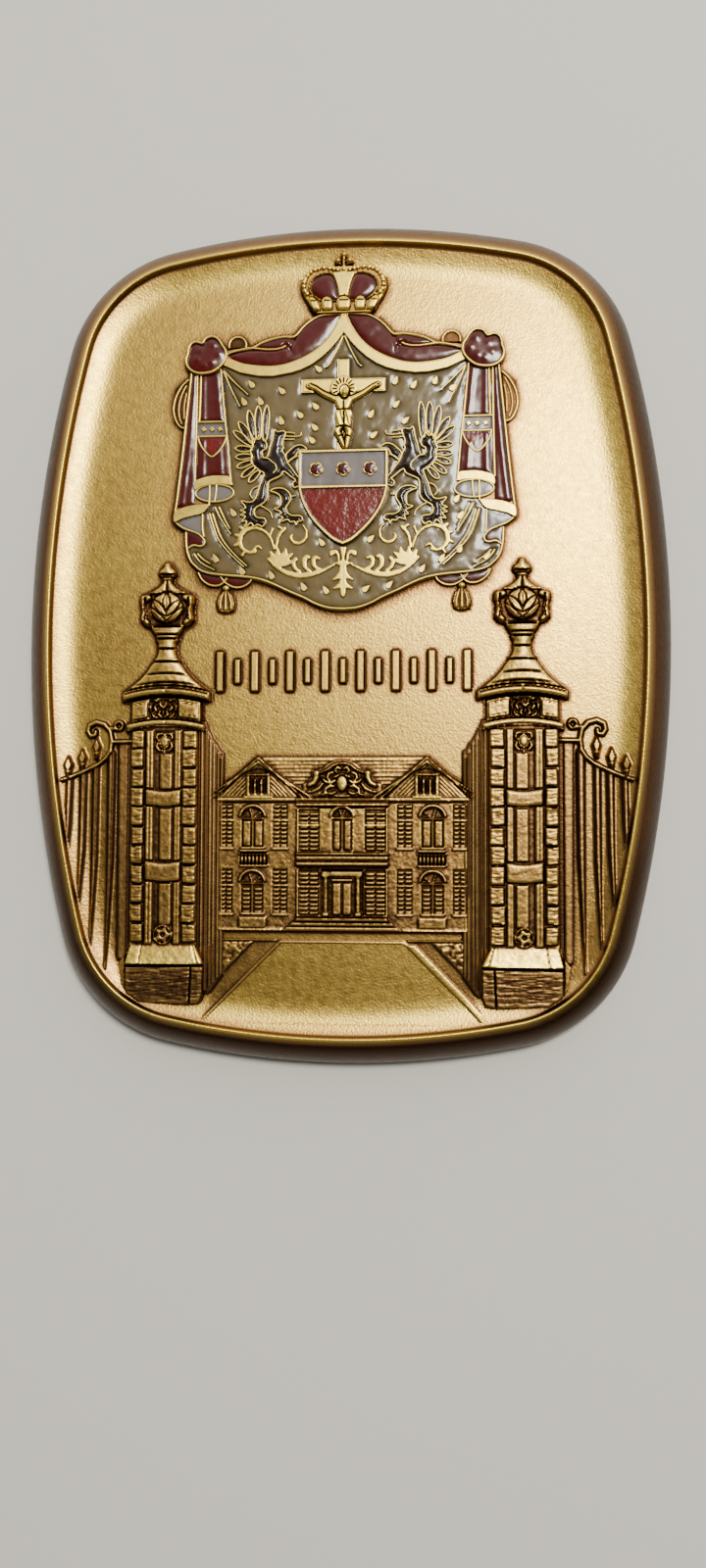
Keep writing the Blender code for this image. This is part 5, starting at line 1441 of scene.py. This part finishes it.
RED_ENAMEL = enamel("red enamel", (0.085, 0.0065, 0.005), (0.012, 0.002, 0.002), 0.012)
SHIELD_ENAMEL = enamel("bright red enamel", (0.17, 0.012, 0.009), (0.03, 0.003, 0.003), 0.035, 2600.0)
GREY_ENAMEL = enamel("grey enamel", (0.21, 0.185, 0.185), (0.05, 0.04, 0.04), 0.012)
for word, side in SIDES:
    creases = [*SWAG_CREASES, [(*point, 0.08) for point in SWAG_FOLDS[0]]]
    outline = smooth(SWAG, closed=True, per=3)
    nodes = [f"swag_red_{word}"]
    pool(
        f"swag_enamel_{word}", outline, ENAMEL, 0.2, 1.1, RED_ENAMEL, nodes, "enamel_red", side, 0.11,
        creases=creases,
    )
    edges = [smooth(on_side(side, SWAG), closed=True)]
    settle(wires(f"swag_edge_{word}", edges, LINE, LINE_BRONZE, closed=True), "bronze")
    folds = [smooth(on_side(side, path)) for path in SWAG_FOLDS]
    settle(wires(f"swag_fold_{word}", folds, 0.1, LINE_BRONZE, LINE_TOP + 0.04), "bronze")
    knot(word, side)
    curtain(word, side)
    hanging_lobes(word, side)
    tassel(word, side)
settle(plates("swag_hem", [mirrored(HEM)], LINE_TOP + 0.05, 0.09, LINE_BRONZE, CLOTH), "bronze")


# A crown stands on the top of the mantle: two red caps under arches set with pearls, five broad
# leaves on its ring, each with a slit, and a small cross of three balls above.
CROWN_STEP = 0.07
CROWN = (
    (0, 40.35), (1.2, 40.3), (2.1, 40.45), (3.0, 40.35), (3.75, 39.95), (4.35, 39.3), (4.65, 38.5),
    (4.65, 37.8), (4.3, 37.0), (3.6, 35.9), (2.95, 35.1), (0, 35.1),
)
CROWN_CAP = (
    (1.2, 39.2), (1.75, 39.42), (2.5, 39.3), (3.2, 38.9), (3.6, 38.25), (3.55, 37.6), (3.1, 37.0),
    (2.2, 36.5), (0.75, 36.5), (0.55, 37.1), (0.75, 38.2),
)
PEARLS = (
    (3.55, 36.9), (4.15, 37.5), (4.33, 38.2), (4.18, 38.9), (3.8, 39.5), (3.15, 39.92), (2.3, 40.1),
    (1.4, 40.02), (0.65, 39.85),
)
PEARL_RADIUS = 0.24
PEARLS_A_SIDE = 14


def crown():
    x, y = grid((-5.2, 34.7, 5.2, 42.3), CROWN_STEP)
    away = np.abs(x)
    z = np.full(x.shape, GROUND)
    body = in_outline(away, y, [(px - 0.01, py) for px, py in CROWN])
    z = raised(z, body, 4.45, 0.16)
    cap = in_outline(away, y, smooth(CROWN_CAP, closed=True, per=3))
    z = raised(z, np.abs(cap - 0.07) - 0.08, 4.75, 0.1)
    band = in_outline(away, y, [(-0.1, 39.6), (1.25, 39.5), (0.75, 38.2), (0.4, 36.6), (-0.1, 36.6)])
    z = raised(z, band, 4.8, 0.12)
    z = sunk(z, cap + 0.02, 4.4, 0.1)
    path = smooth(PEARLS)
    pearls = [path[round(index * (len(path) - 1) / (PEARLS_A_SIDE - 1))] for index in range(PEARLS_A_SIDE)]
    for px, py in pearls:
        reach = np.hypot(away - px, y - py)
        z = np.maximum(z, np.where(reach < PEARL_RADIUS, 4.6 + 0.16 * swell(reach - PEARL_RADIUS, 0.14), 0))
    for middle, half, lean in ((0.0, 0.8, 0.0), (1.75, 0.62, 0.06), (2.95, 0.55, 0.4)):
        leaned = away - lean * (y - 35.4)
        leaf = in_outline(leaned, y, [
            (middle - half * 0.8, 35.35), (middle + half * 0.8, 35.35), (middle + half, 35.85),
            (middle + half * 0.97, 36.35), (middle + half * 0.6, 36.72), (middle, 36.85),
            (middle - half * 0.6, 36.72), (middle - half * 0.97, 36.35), (middle - half, 35.85),
        ])
        z = np.maximum(z, np.where(leaf < 0, 4.72 + 0.22 * swell(leaf, 0.35), FIELD))
        z = sunk(z, in_box(leaned, y, middle - half * 0.6, 36.3, middle + half * 0.6, 36.4), 4.72, 0.09)
        z = sunk(z, np.abs(leaf - 0.05) - 0.05, 4.5, 0.08)
    z = raised(z, in_box(away, y, -0.1, 35.05, 2.9, 35.28), 4.7, 0.1)
    for px, py, radius in ((0.0, 39.95, 0.36), (0.0, 41.6, 0.4), (0.64, 40.9, 0.42)):
        ball = np.hypot(away - px, y - py)
        round_top = 4.0 + np.sqrt(np.clip(radius**2 - ball**2, 0, 1)) * 1.6
        z = np.maximum(z, np.where(ball < radius + 0.06, round_top, FIELD))
    z = raised(z, in_stroke(away, y, [(0, 40.2, 0.17), (0, 41.7, 0.12)]), 4.5, 0.14)
    z = raised(z, in_stroke(away, y, [(0.0, 40.5, 0.1), (0.35, 40.5, 0.1), (0.6, 40.8, 0.12)]), 4.45, 0.14)
    tone = patina_and_shade_of(z, CROWN_STEP) - 0.1
    # Outside the crown, a dark band is painted round its foot as shade; on the crown the tone is kept light.
    tone = np.where(body > 0, 0.8 * np.exp(-body / 0.3), np.minimum(tone, 0.2))
    for px, py in pearls:
        tone = laid(tone, np.hypot(away - px, y - py) - 0.15, -0.2, 0.12)
    shown = with_margin(z, CROWN_STEP, 0.5) & (in_outline(away, y, MANTLE) > 0.05) | (body < 0.1)
    return relief("crown", x, y, z + CLOTH_LIFT, shown, LINE_BRONZE, tone)


settle(crown(), "bronze")
for word, side in SIDES:
    cap = smooth(CROWN_CAP, closed=True, per=3)
    nodes = [f"crown_cap_red_{word}"]
    pool(f"crown_cap_enamel_{word}", cap, 4.5, 0.26, 1.0, RED_ENAMEL, nodes, "enamel_red", side, 0.09)


# The shield hangs in the middle of the cloth: a grey band over a hammered red field, in a raised
# frame. Plain rosettes stand on the band.
SHIELD_FIELD = (
    (0, 15.9), (4.55, 15.9), (4.2, 14.6), (3.65, 13.45), (2.85, 12.35), (1.85, 11.3), (0.9, 10.5), (0, 10.05),
)
SHIELD_TOP = 4.66
ROSETTES = (-2.9, 0.0, 2.9)
ROSETTE_HEIGHT = 17.95


def shield_frame():
    outer = mirrored([*SHIELD[:2], *smooth(SHIELD[2:])])
    inner = mirrored([*SHIELD_FIELD[:1], *smooth(SHIELD_FIELD[1:])])
    return plates(
        "shield_frame", [outer, inner, rectangle(-4.55, 16.15, 4.55, 19.8)], SHIELD_TOP, 0.06,
        LINE_BRONZE,
    )


def shield_rosettes():
    outlines = [lobed((middle, ROSETTE_HEIGHT), 0.82, 5, 0.28, 60) for middle in ROSETTES]
    return plates("shield_rosettes", outlines, SHIELD_TOP - 0.02, 0.08, LINE_BRONZE, 4.3)


settle(shield_frame(), "bronze")
settle(shield_rosettes(), "bronze")
for middle in ROSETTES:
    rosette = lobed((middle, ROSETTE_HEIGHT), 0.6, 5, 0.28, 60)
    name = f"rosette_enamel_{round(middle + 3)}"
    pool(name, rosette, SHIELD_TOP, 0.1, 0.4, RED_ENAMEL, [], "enamel_red", step=0.08)
level = SHIELD_TOP - 0.17
pool(
    "shield_field_enamel", mirrored(SHIELD_FIELD), level, 0.03, 0.8, SHIELD_ENAMEL,
    ["shield_field_red"], "enamel_red",
)
band = rectangle(-4.55, 16.1, 4.55, 19.85)
pool("shield_chief_enamel", band, level, 0.02, 0.5, GREY_ENAMEL, ["shield_chief_grey"], "enamel_grey")


# A cross with its figure stands over the shield, cut a little higher than the cloth. The figure is
# a few millimetres tall, modelled in soft swellings, with a round halo of rays behind a plain head.
FIGURE_STEP = 0.06
HALO_HEIGHT = 26.75
HALO = 1.38
RAYS = 16
LIMBS = (
    ((-0.95, 25.6, 0.3), (-2.1, 26.15, 0.24), (-3.1, 26.85, 0.2), (-3.65, 27.1, 0.22)),
    ((0.95, 25.6, 0.3), (2.1, 26.15, 0.24), (3.1, 26.85, 0.2), (3.65, 27.1, 0.22)),
    ((-0.3, 22.9, 0.42), (-0.72, 22.1, 0.34), (-0.3, 21.3, 0.26), (0.1, 20.4, 0.2)),
    ((0.35, 22.9, 0.4), (0.65, 22.0, 0.34), (0.5, 21.1, 0.26), (0.35, 20.3, 0.2)),
)

TRUNK = (
    (-1.05, 25.75), (0, 26.0), (1.05, 25.75), (0.85, 25.0), (0.6, 24.3), (0.72, 23.2), (-0.72, 23.2),
    (-0.6, 24.3), (-0.85, 25.0),
)
WAIST_CLOTH = (
    (-0.82, 24.35), (0.82, 24.4), (0.9, 23.3), (0.75, 22.6), (0.1, 22.75), (-0.6, 22.5), (-0.85, 23.3),
)
FIGURE_CREASES = (
    [(-0.85, 24.42, 0.05), (0.85, 24.45, 0.05)], [(0.02, 25.3, 0.04), (0.02, 24.5, 0.05)],
    [(0.05, 24.2, 0.05), (0.1, 22.9, 0.06)],
    [(-0.9, 22.5, 0.05), (0.1, 22.65, 0.07), (0.95, 22.4, 0.05)],
    [(-0.55, 21.5, 0.04), (0.0, 21.7, 0.07), (0.75, 21.45, 0.04)],
    [(0.02, 22.6, 0.04), (0.05, 21.6, 0.06), (0.22, 20.3, 0.03)],
)


def crucifix():
    x, y = grid((-5.0, 19.9, 5.0, 30.5), FIGURE_STEP)
    z = np.full(x.shape, CLOTH - 0.1)
    cross = in_cross(x, y)
    z = raised(z, cross, 4.44, 0.12)
    z = sunk(z, np.abs(cross + 0.12) - 0.03, 4.4, 0.06)
    halo = np.hypot(x, y - HALO_HEIGHT)
    z = raised(z, halo - HALO, 4.5, 0.1)
    turn = np.arctan2(y - HALO_HEIGHT, x)
    rays = np.abs((turn / (2 * math.pi) * RAYS + 0.5) % 1 - 0.5) * 2 * math.pi / RAYS * halo - 0.03
    z = sunk(z, np.maximum(rays, np.maximum(0.72 - halo, halo - 1.2)), 4.26, 0.08)
    body = np.full(x.shape, 99.0)
    for limb in LIMBS:
        body = np.minimum(body, in_stroke(x, y, limb))
    trunk = in_outline(x, y, smooth(TRUNK, closed=True, per=3))
    body = np.minimum(body, trunk)
    z = sunk(z, np.maximum(body - 0.12, -body), 4.2, 0.1)
    z = np.maximum(z, np.where(body < 0.03, 4.42 + 0.3 * swell(body - 0.03, 0.34), 0))
    cloth = in_outline(x, y, smooth(WAIST_CLOTH, closed=True, per=3))
    z = np.maximum(z, np.where(cloth < 0, 4.6 + 0.14 * swell(cloth, 0.3) + 0.03 * np.sin(x * 11 + y * 3), 0))
    for crease in FIGURE_CREASES:
        z = sunk(z, in_stroke(x, y, crease), 4.36, 0.1)
    head = in_oval(x - 0.12, y, 0, 26.35, 0.4, 0.58)
    z = sunk(z, np.abs(head - 0.12) - 0.08, 4.3, 0.08)
    z = np.maximum(z, np.where(head < 0, 4.5 + 0.36 * swell(head, 0.4), 0))
    hair = np.maximum(in_oval(x - 0.1, y, 0, 26.48, 0.52, 0.66), -(in_oval(x - 0.14, y, 0, 26.25, 0.3, 0.5)))
    z = np.maximum(z, np.where(hair < 0, 4.52 + 0.22 * swell(hair, 0.14), 0))
    for eye in (-0.02, 0.28):
        z = z - 0.05 * ramp(in_oval(x, y, eye, 26.38, 0.08, 0.05), 0.08)
    z = z + 0.05 * ramp(in_stroke(x, y, [(0.13, 26.38, 0.03), (0.13, 26.18, 0.05)]), 0.08)
    z = z - 0.04 * ramp(in_stroke(x, y, [(0.04, 26.02, 0.02), (0.22, 26.02, 0.02)]), 0.06)
    for hand in (-1, 1):
        palm = in_oval(x, y, hand * 3.75, 27.12, 0.3, 0.26)
        z = np.maximum(z, np.where(palm < 0, 4.55 + 0.16 * swell(palm, 0.25), 0))
        z = sunk(z, in_oval(x, y, hand * 3.75, 27.12, 0.09, 0.09), 4.5, 0.06)
    shown = np.minimum(np.minimum(cross, halo - HALO), body - 0.12) < 0.14
    tone = np.clip(patina_and_shade_of(z, FIGURE_STEP), -0.3, 0.6) - 0.05
    return relief("crucifix", x, y, z, shown, LINE_BRONZE, tone)


settle(crucifix(), "bronze")


# Two griffins hold up the shield. Their bodies are pools of black enamel with a rounded back, in
# thin raised outlines, and their wings are fans of slim outlined feathers.
GRIFFIN_STEP = 0.07
FEATHERS = (
    ((8.55, 21.3), (8.32, 25.15), 0.35), ((9.25, 21.5), (9.27, 25.1), 0.38),
    ((9.7, 21.4), (10.32, 24.65), 0.38),
    ((9.8, 21.05), (11.4, 23.4), 0.38), ((9.95, 20.8), (11.95, 22.4), 0.35),
    ((10.0, 20.35), (11.75, 20.5), 0.32),
    ((10.0, 19.6), (11.7, 19.5), 0.3), ((9.95, 19.0), (11.55, 18.4), 0.3), ((9.65, 18.4), (11.05, 17.3), 0.3),
    ((9.15, 17.9), (10.25, 16.75), 0.3),
)
FEATHER_WIDTHS = (
    (0.0, 0.45), (0.2, 0.8), (0.5, 1.0), (0.75, 0.9), (0.92, 0.5), (1.0, 0.0), (0.92, -0.5),
    (0.75, -0.9), (0.5, -1.0), (0.2, -0.8), (0.0, -0.45),
)
GRIFFIN_LINES = (
    [(6.4, 22.1), (5.9, 22.1), (5.25, 22.0)], [(6.5, 21.75), (5.6, 21.65), (4.7, 21.7), (4.55, 22.1)],
    [(6.55, 21.4), (5.9, 21.35), (5.3, 21.35)],
    [(8.75, 19.4), (8.2, 19.3), (7.75, 18.95), (7.35, 18.6), (7.25, 18.1), (7.6, 17.7)],
    [(5.95, 18.85), (5.4, 19.3), (4.95, 19.5)], [(5.6, 15.1), (5.1, 15.2)],
    [(9.15, 16.3), (9.8, 16.0), (10.1, 15.4), (9.8, 14.95)],
    [(8.95, 14.15), (8.35, 13.8), (7.85, 13.4), (7.65, 12.8)],
)


def feather(root, tip, half):
    """A slim leaf from its root to its tip, widest a little past the middle."""
    length = math.dist(root, tip)
    along = ((tip[0] - root[0]) / length, (tip[1] - root[1]) / length)
    across = (-along[1] * half, along[0] * half)
    return [
        (
            root[0] + along[0] * length * share + across[0] * width,
            root[1] + along[1] * length * share + across[1] * width,
        )
        for share, width in FEATHER_WIDTHS
    ]


def griffin(word, side):
    petals = [feather(*each) for each in FEATHERS]
    shapes = [GRIFFIN_BODY, RAISED_LEG, HIND_LEG, *petals]
    x, y = grid((3.6, 11.4, 12.4, 25.5), GRIFFIN_STEP)
    edge = np.full(x.shape, 99.0)
    for shape in shapes:
        edge = np.minimum(edge, in_outline(x, y, list(shape)))
    z = ENAMEL + 0.01 + 0.14 * swell(edge + 0.26, 0.5) + 0.006 * mottle(x, y, 0.45, 130 + side)
    # Painted shade darkens the black enamel along its outlines.
    tone = 0.4 * np.exp(-np.abs(edge) / 0.15)
    made = relief(f"griffin_enamel_{word}", x, y, z, edge < 0.03, BLACK_ENAMEL, tone, side)
    settle(made, "enamel_black", f"griffin_black_{word}")
    outlines = [smooth(on_side(side, shape), closed=True, per=3) for shape in shapes]
    settle(
        wires(f"griffin_outline_{word}", outlines, 0.1, LINE_BRONZE, LINE_TOP + 0.07, closed=True),
        "bronze",
    )
    lines = [smooth(on_side(side, line)) for line in GRIFFIN_LINES]
    settle(wires(f"griffin_lines_{word}", lines, 0.09, LINE_BRONZE, LINE_TOP + 0.07), "bronze")


BLACK_ENAMEL = enamel("black enamel", (0.014, 0.006, 0.005), (0.005, 0.002, 0.002), 0.012)
for word, side in SIDES:
    griffin(word, side)


# Leafy scrolls grow from a stem under the shield and carry the griffins' feet. They are flat-topped
# bronze with lobed edges, standing in the olive enamel.
SCROLL_STEP = 0.07
SCROLLS = (
    (
        (7.45, 9.4, 0.16), (7.75, 10.4, 0.18), (8.4, 11.25, 0.19), (9.4, 11.75, 0.23),
        (10.4, 11.6, 0.27), (11.05, 11.0, 0.3), (11.2, 10.2, 0.3), (10.85, 9.45, 0.26),
        (10.15, 9.1, 0.22), (9.5, 9.2, 0.24),
    ),
    ((7.2, 9.4, 0.18), (7.15, 10.2, 0.2), (6.85, 11.0, 0.23), (6.35, 11.6, 0.27)),
    (
        (4.35, 11.95, 0.12), (3.95, 11.3, 0.16), (4.05, 10.55, 0.19), (4.6, 10.05, 0.21),
        (5.3, 10.1, 0.22), (5.65, 10.6, 0.2), (5.5, 10.95, 0.14),
    ),
    (
        (7.7, 7.9, 0.24), (6.9, 7.25, 0.27), (5.9, 6.75, 0.31), (4.7, 6.5, 0.34), (3.5, 6.6, 0.32),
        (2.3, 6.95, 0.25), (1.0, 7.55, 0.16),
    ),
    ((2.3, 7.0, 0.22), (2.95, 7.35, 0.25), (3.22, 7.9, 0.27), (3.0, 8.38, 0.27), (2.6, 8.32, 0.18)),
    ((3.5, 6.9, 0.22), (4.02, 7.3, 0.26), (4.2, 7.9, 0.3), (4.0, 8.4, 0.32), (3.72, 8.45, 0.24)),
    ((4.7, 6.9, 0.24), (5.2, 7.3, 0.26), (5.35, 7.85, 0.28), (5.1, 8.25, 0.26)),
    ((0.45, 8.0, 0.15), (0.5, 8.55, 0.19), (0.78, 8.98, 0.25), (1.15, 8.92, 0.33), (1.3, 8.7, 0.22)),
    ((6.95, 7.7, 0.4), (6.65, 8.2, 0.62), (6.3, 8.75, 0.4), (6.2, 9.4, 0.14)),
    ((6.8, 8.0, 0.45), (6.1, 8.4, 0.4), (5.45, 8.85, 0.14)),
    ((6.7, 7.8, 0.45), (6.0, 7.9, 0.35), (5.35, 8.1, 0.14)),
    ((6.8, 8.2, 0.45), (7.05, 8.8, 0.36), (7.05, 9.45, 0.14)),
    ((10.5, 11.5, 0.24), (11.1, 11.8, 0.26)), ((11.1, 10.9, 0.24), (11.65, 11.0, 0.2)),
    ((11.1, 10.1, 0.24), (11.7, 9.9, 0.2)),
    ((10.6, 9.3, 0.2), (10.9, 8.8, 0.2)), ((9.8, 9.15, 0.18), (9.3, 9.75, 0.18), (8.85, 9.5, 0.14)),
    ((6.4, 11.5, 0.24), (6.95, 11.8, 0.2)),
    ((7.95, 10.8, 0.15), (7.65, 11.6, 0.2)), ((7.4, 7.6, 0.24), (8.05, 8.3, 0.22)),
    ((7.2, 8.3, 0.24), (7.8, 9.0, 0.22)), ((7.1, 8.0, 0.4), (7.6, 8.4, 0.3), (7.95, 8.95, 0.12)),
)
STEM = (
    (-0.1, 9.6), (0.33, 9.58), (0.42, 9.3), (0.24, 8.7), (0.22, 8.1), (0.55, 7.98), (1.0, 7.88),
    (1.15, 7.62), (0.7, 7.58), (0.42, 7.45), (0.45, 6.9), (0.7, 6.45), (1.22, 5.98), (1.05, 5.86),
    (0.36, 6.0), (0.5, 5.6), (1.15, 5.05), (1.0, 4.9), (0.36, 5.0), (0.36, 4.6), (0.2, 4.2),
    (-0.1, 3.85),
)


def scrolls():
    x, y = grid((-12.1, 3.5, 12.1, 12.2), SCROLL_STEP)
    away = np.abs(x)
    edge = np.full(x.shape, 99.0)
    for path in SCROLLS:
        edge = np.minimum(edge, in_stroke(away, y, smooth(path, per=4)))
    edge = np.minimum(edge, in_outline(away, y, STEM))
    edge = edge + 0.03 * np.sin(away * 7) * np.sin(y * 7)
    foot = CLOTH + 0.04
    brow = LINE_TOP - 0.1
    wall = foot + (brow - foot) * ramp(edge - 0.03, 0.08)
    z = np.where(edge < 0, brow + 0.1 * swell(edge, 0.16), wall)
    tone = np.clip(patina_and_shade_of(z, SCROLL_STEP), -0.2, 0.9)
    return relief("leaf_scrolls", x, y, z, edge < 0.1, LINE_BRONZE, tone)


settle(scrolls(), "bronze")


# A plain pale floor, soft light from above its far right corner, and a camera that looks down on
# the plaquette from a hand's breadth away, as the photograph does.
FLOOR_HALF = 0.6


def floor():
    mesh = bpy.data.meshes.new("floor")
    corners = [(a * FLOOR_HALF, b * FLOOR_HALF, 0) for a, b in ((-1, -1), (1, -1), (1, 1), (-1, 1))]
    mesh.from_pydata(corners, [], [(0, 1, 2, 3)])
    made = bpy.data.objects.new("floor", mesh)
    bpy.context.scene.collection.objects.link(made)
    paint = bpy.data.materials.new("pale floor")
    paint.use_nodes = True
    shader = paint.node_tree.nodes["Principled BSDF"]
    shader.inputs["Base Color"].default_value = (0.78, 0.77, 0.74, 1)
    shader.inputs["Roughness"].default_value = 0.85
    mesh.materials.append(paint)


def lamp(name, place, target, size, watts, colour):
    light = bpy.data.lights.new(name, "AREA")
    light.shape = "RECTANGLE"
    light.size, light.size_y = size
    light.energy = watts
    light.color = colour
    made = bpy.data.objects.new(name, light)
    made.location = place
    direction = Vector(target) - made.location
    made.rotation_euler = direction.to_track_quat("-Z", "Y").to_euler()
    bpy.context.scene.collection.objects.link(made)


def camera():
    lens = bpy.data.cameras.new("camera")
    lens.lens = 27.675
    lens.sensor_width = 36
    lens.clip_start = 0.005
    made = bpy.data.objects.new("camera", lens)
    made.location = (0.01121, -0.02227, 0.13176)
    made.rotation_euler = [math.radians(turn) for turn in (2.843, 4.496, 0.191)]
    bpy.context.scene.collection.objects.link(made)
    bpy.context.scene.camera = made


def sky():
    """A dim room with a bright far wall, and a little light back from the wall behind the camera."""
    world = bpy.data.worlds.new("room")
    bpy.context.scene.world = world
    world.use_nodes = True
    tree = world.node_tree
    place = tree.nodes.new("ShaderNodeTexCoord")
    facing = tree.nodes.new("ShaderNodeVectorMath")
    facing.operation = "DOT_PRODUCT"
    facing.inputs[1].default_value = (0.1, 0.8, -0.6)
    tree.links.new(place.outputs["Generated"], facing.inputs[0])
    far_wall = spread_node(tree, facing.outputs["Value"], -0.45, 0.5, 0.03, 1.6)
    near_wall = spread_node(tree, facing.outputs["Value"], -0.8, -1.0, 0.0, 0.35)
    tree.links.new(sum_node(tree, far_wall, near_wall), tree.nodes["Background"].inputs["Strength"])
    tree.nodes["Background"].inputs["Color"].default_value = (1.0, 0.96, 0.9, 1)


floor()
lamp("key", (0.11, 0.15, 0.45), (0.0, 0.0, 0.0), (0.14, 0.12), 2.3, (1.0, 0.95, 0.82))
sky()
camera()
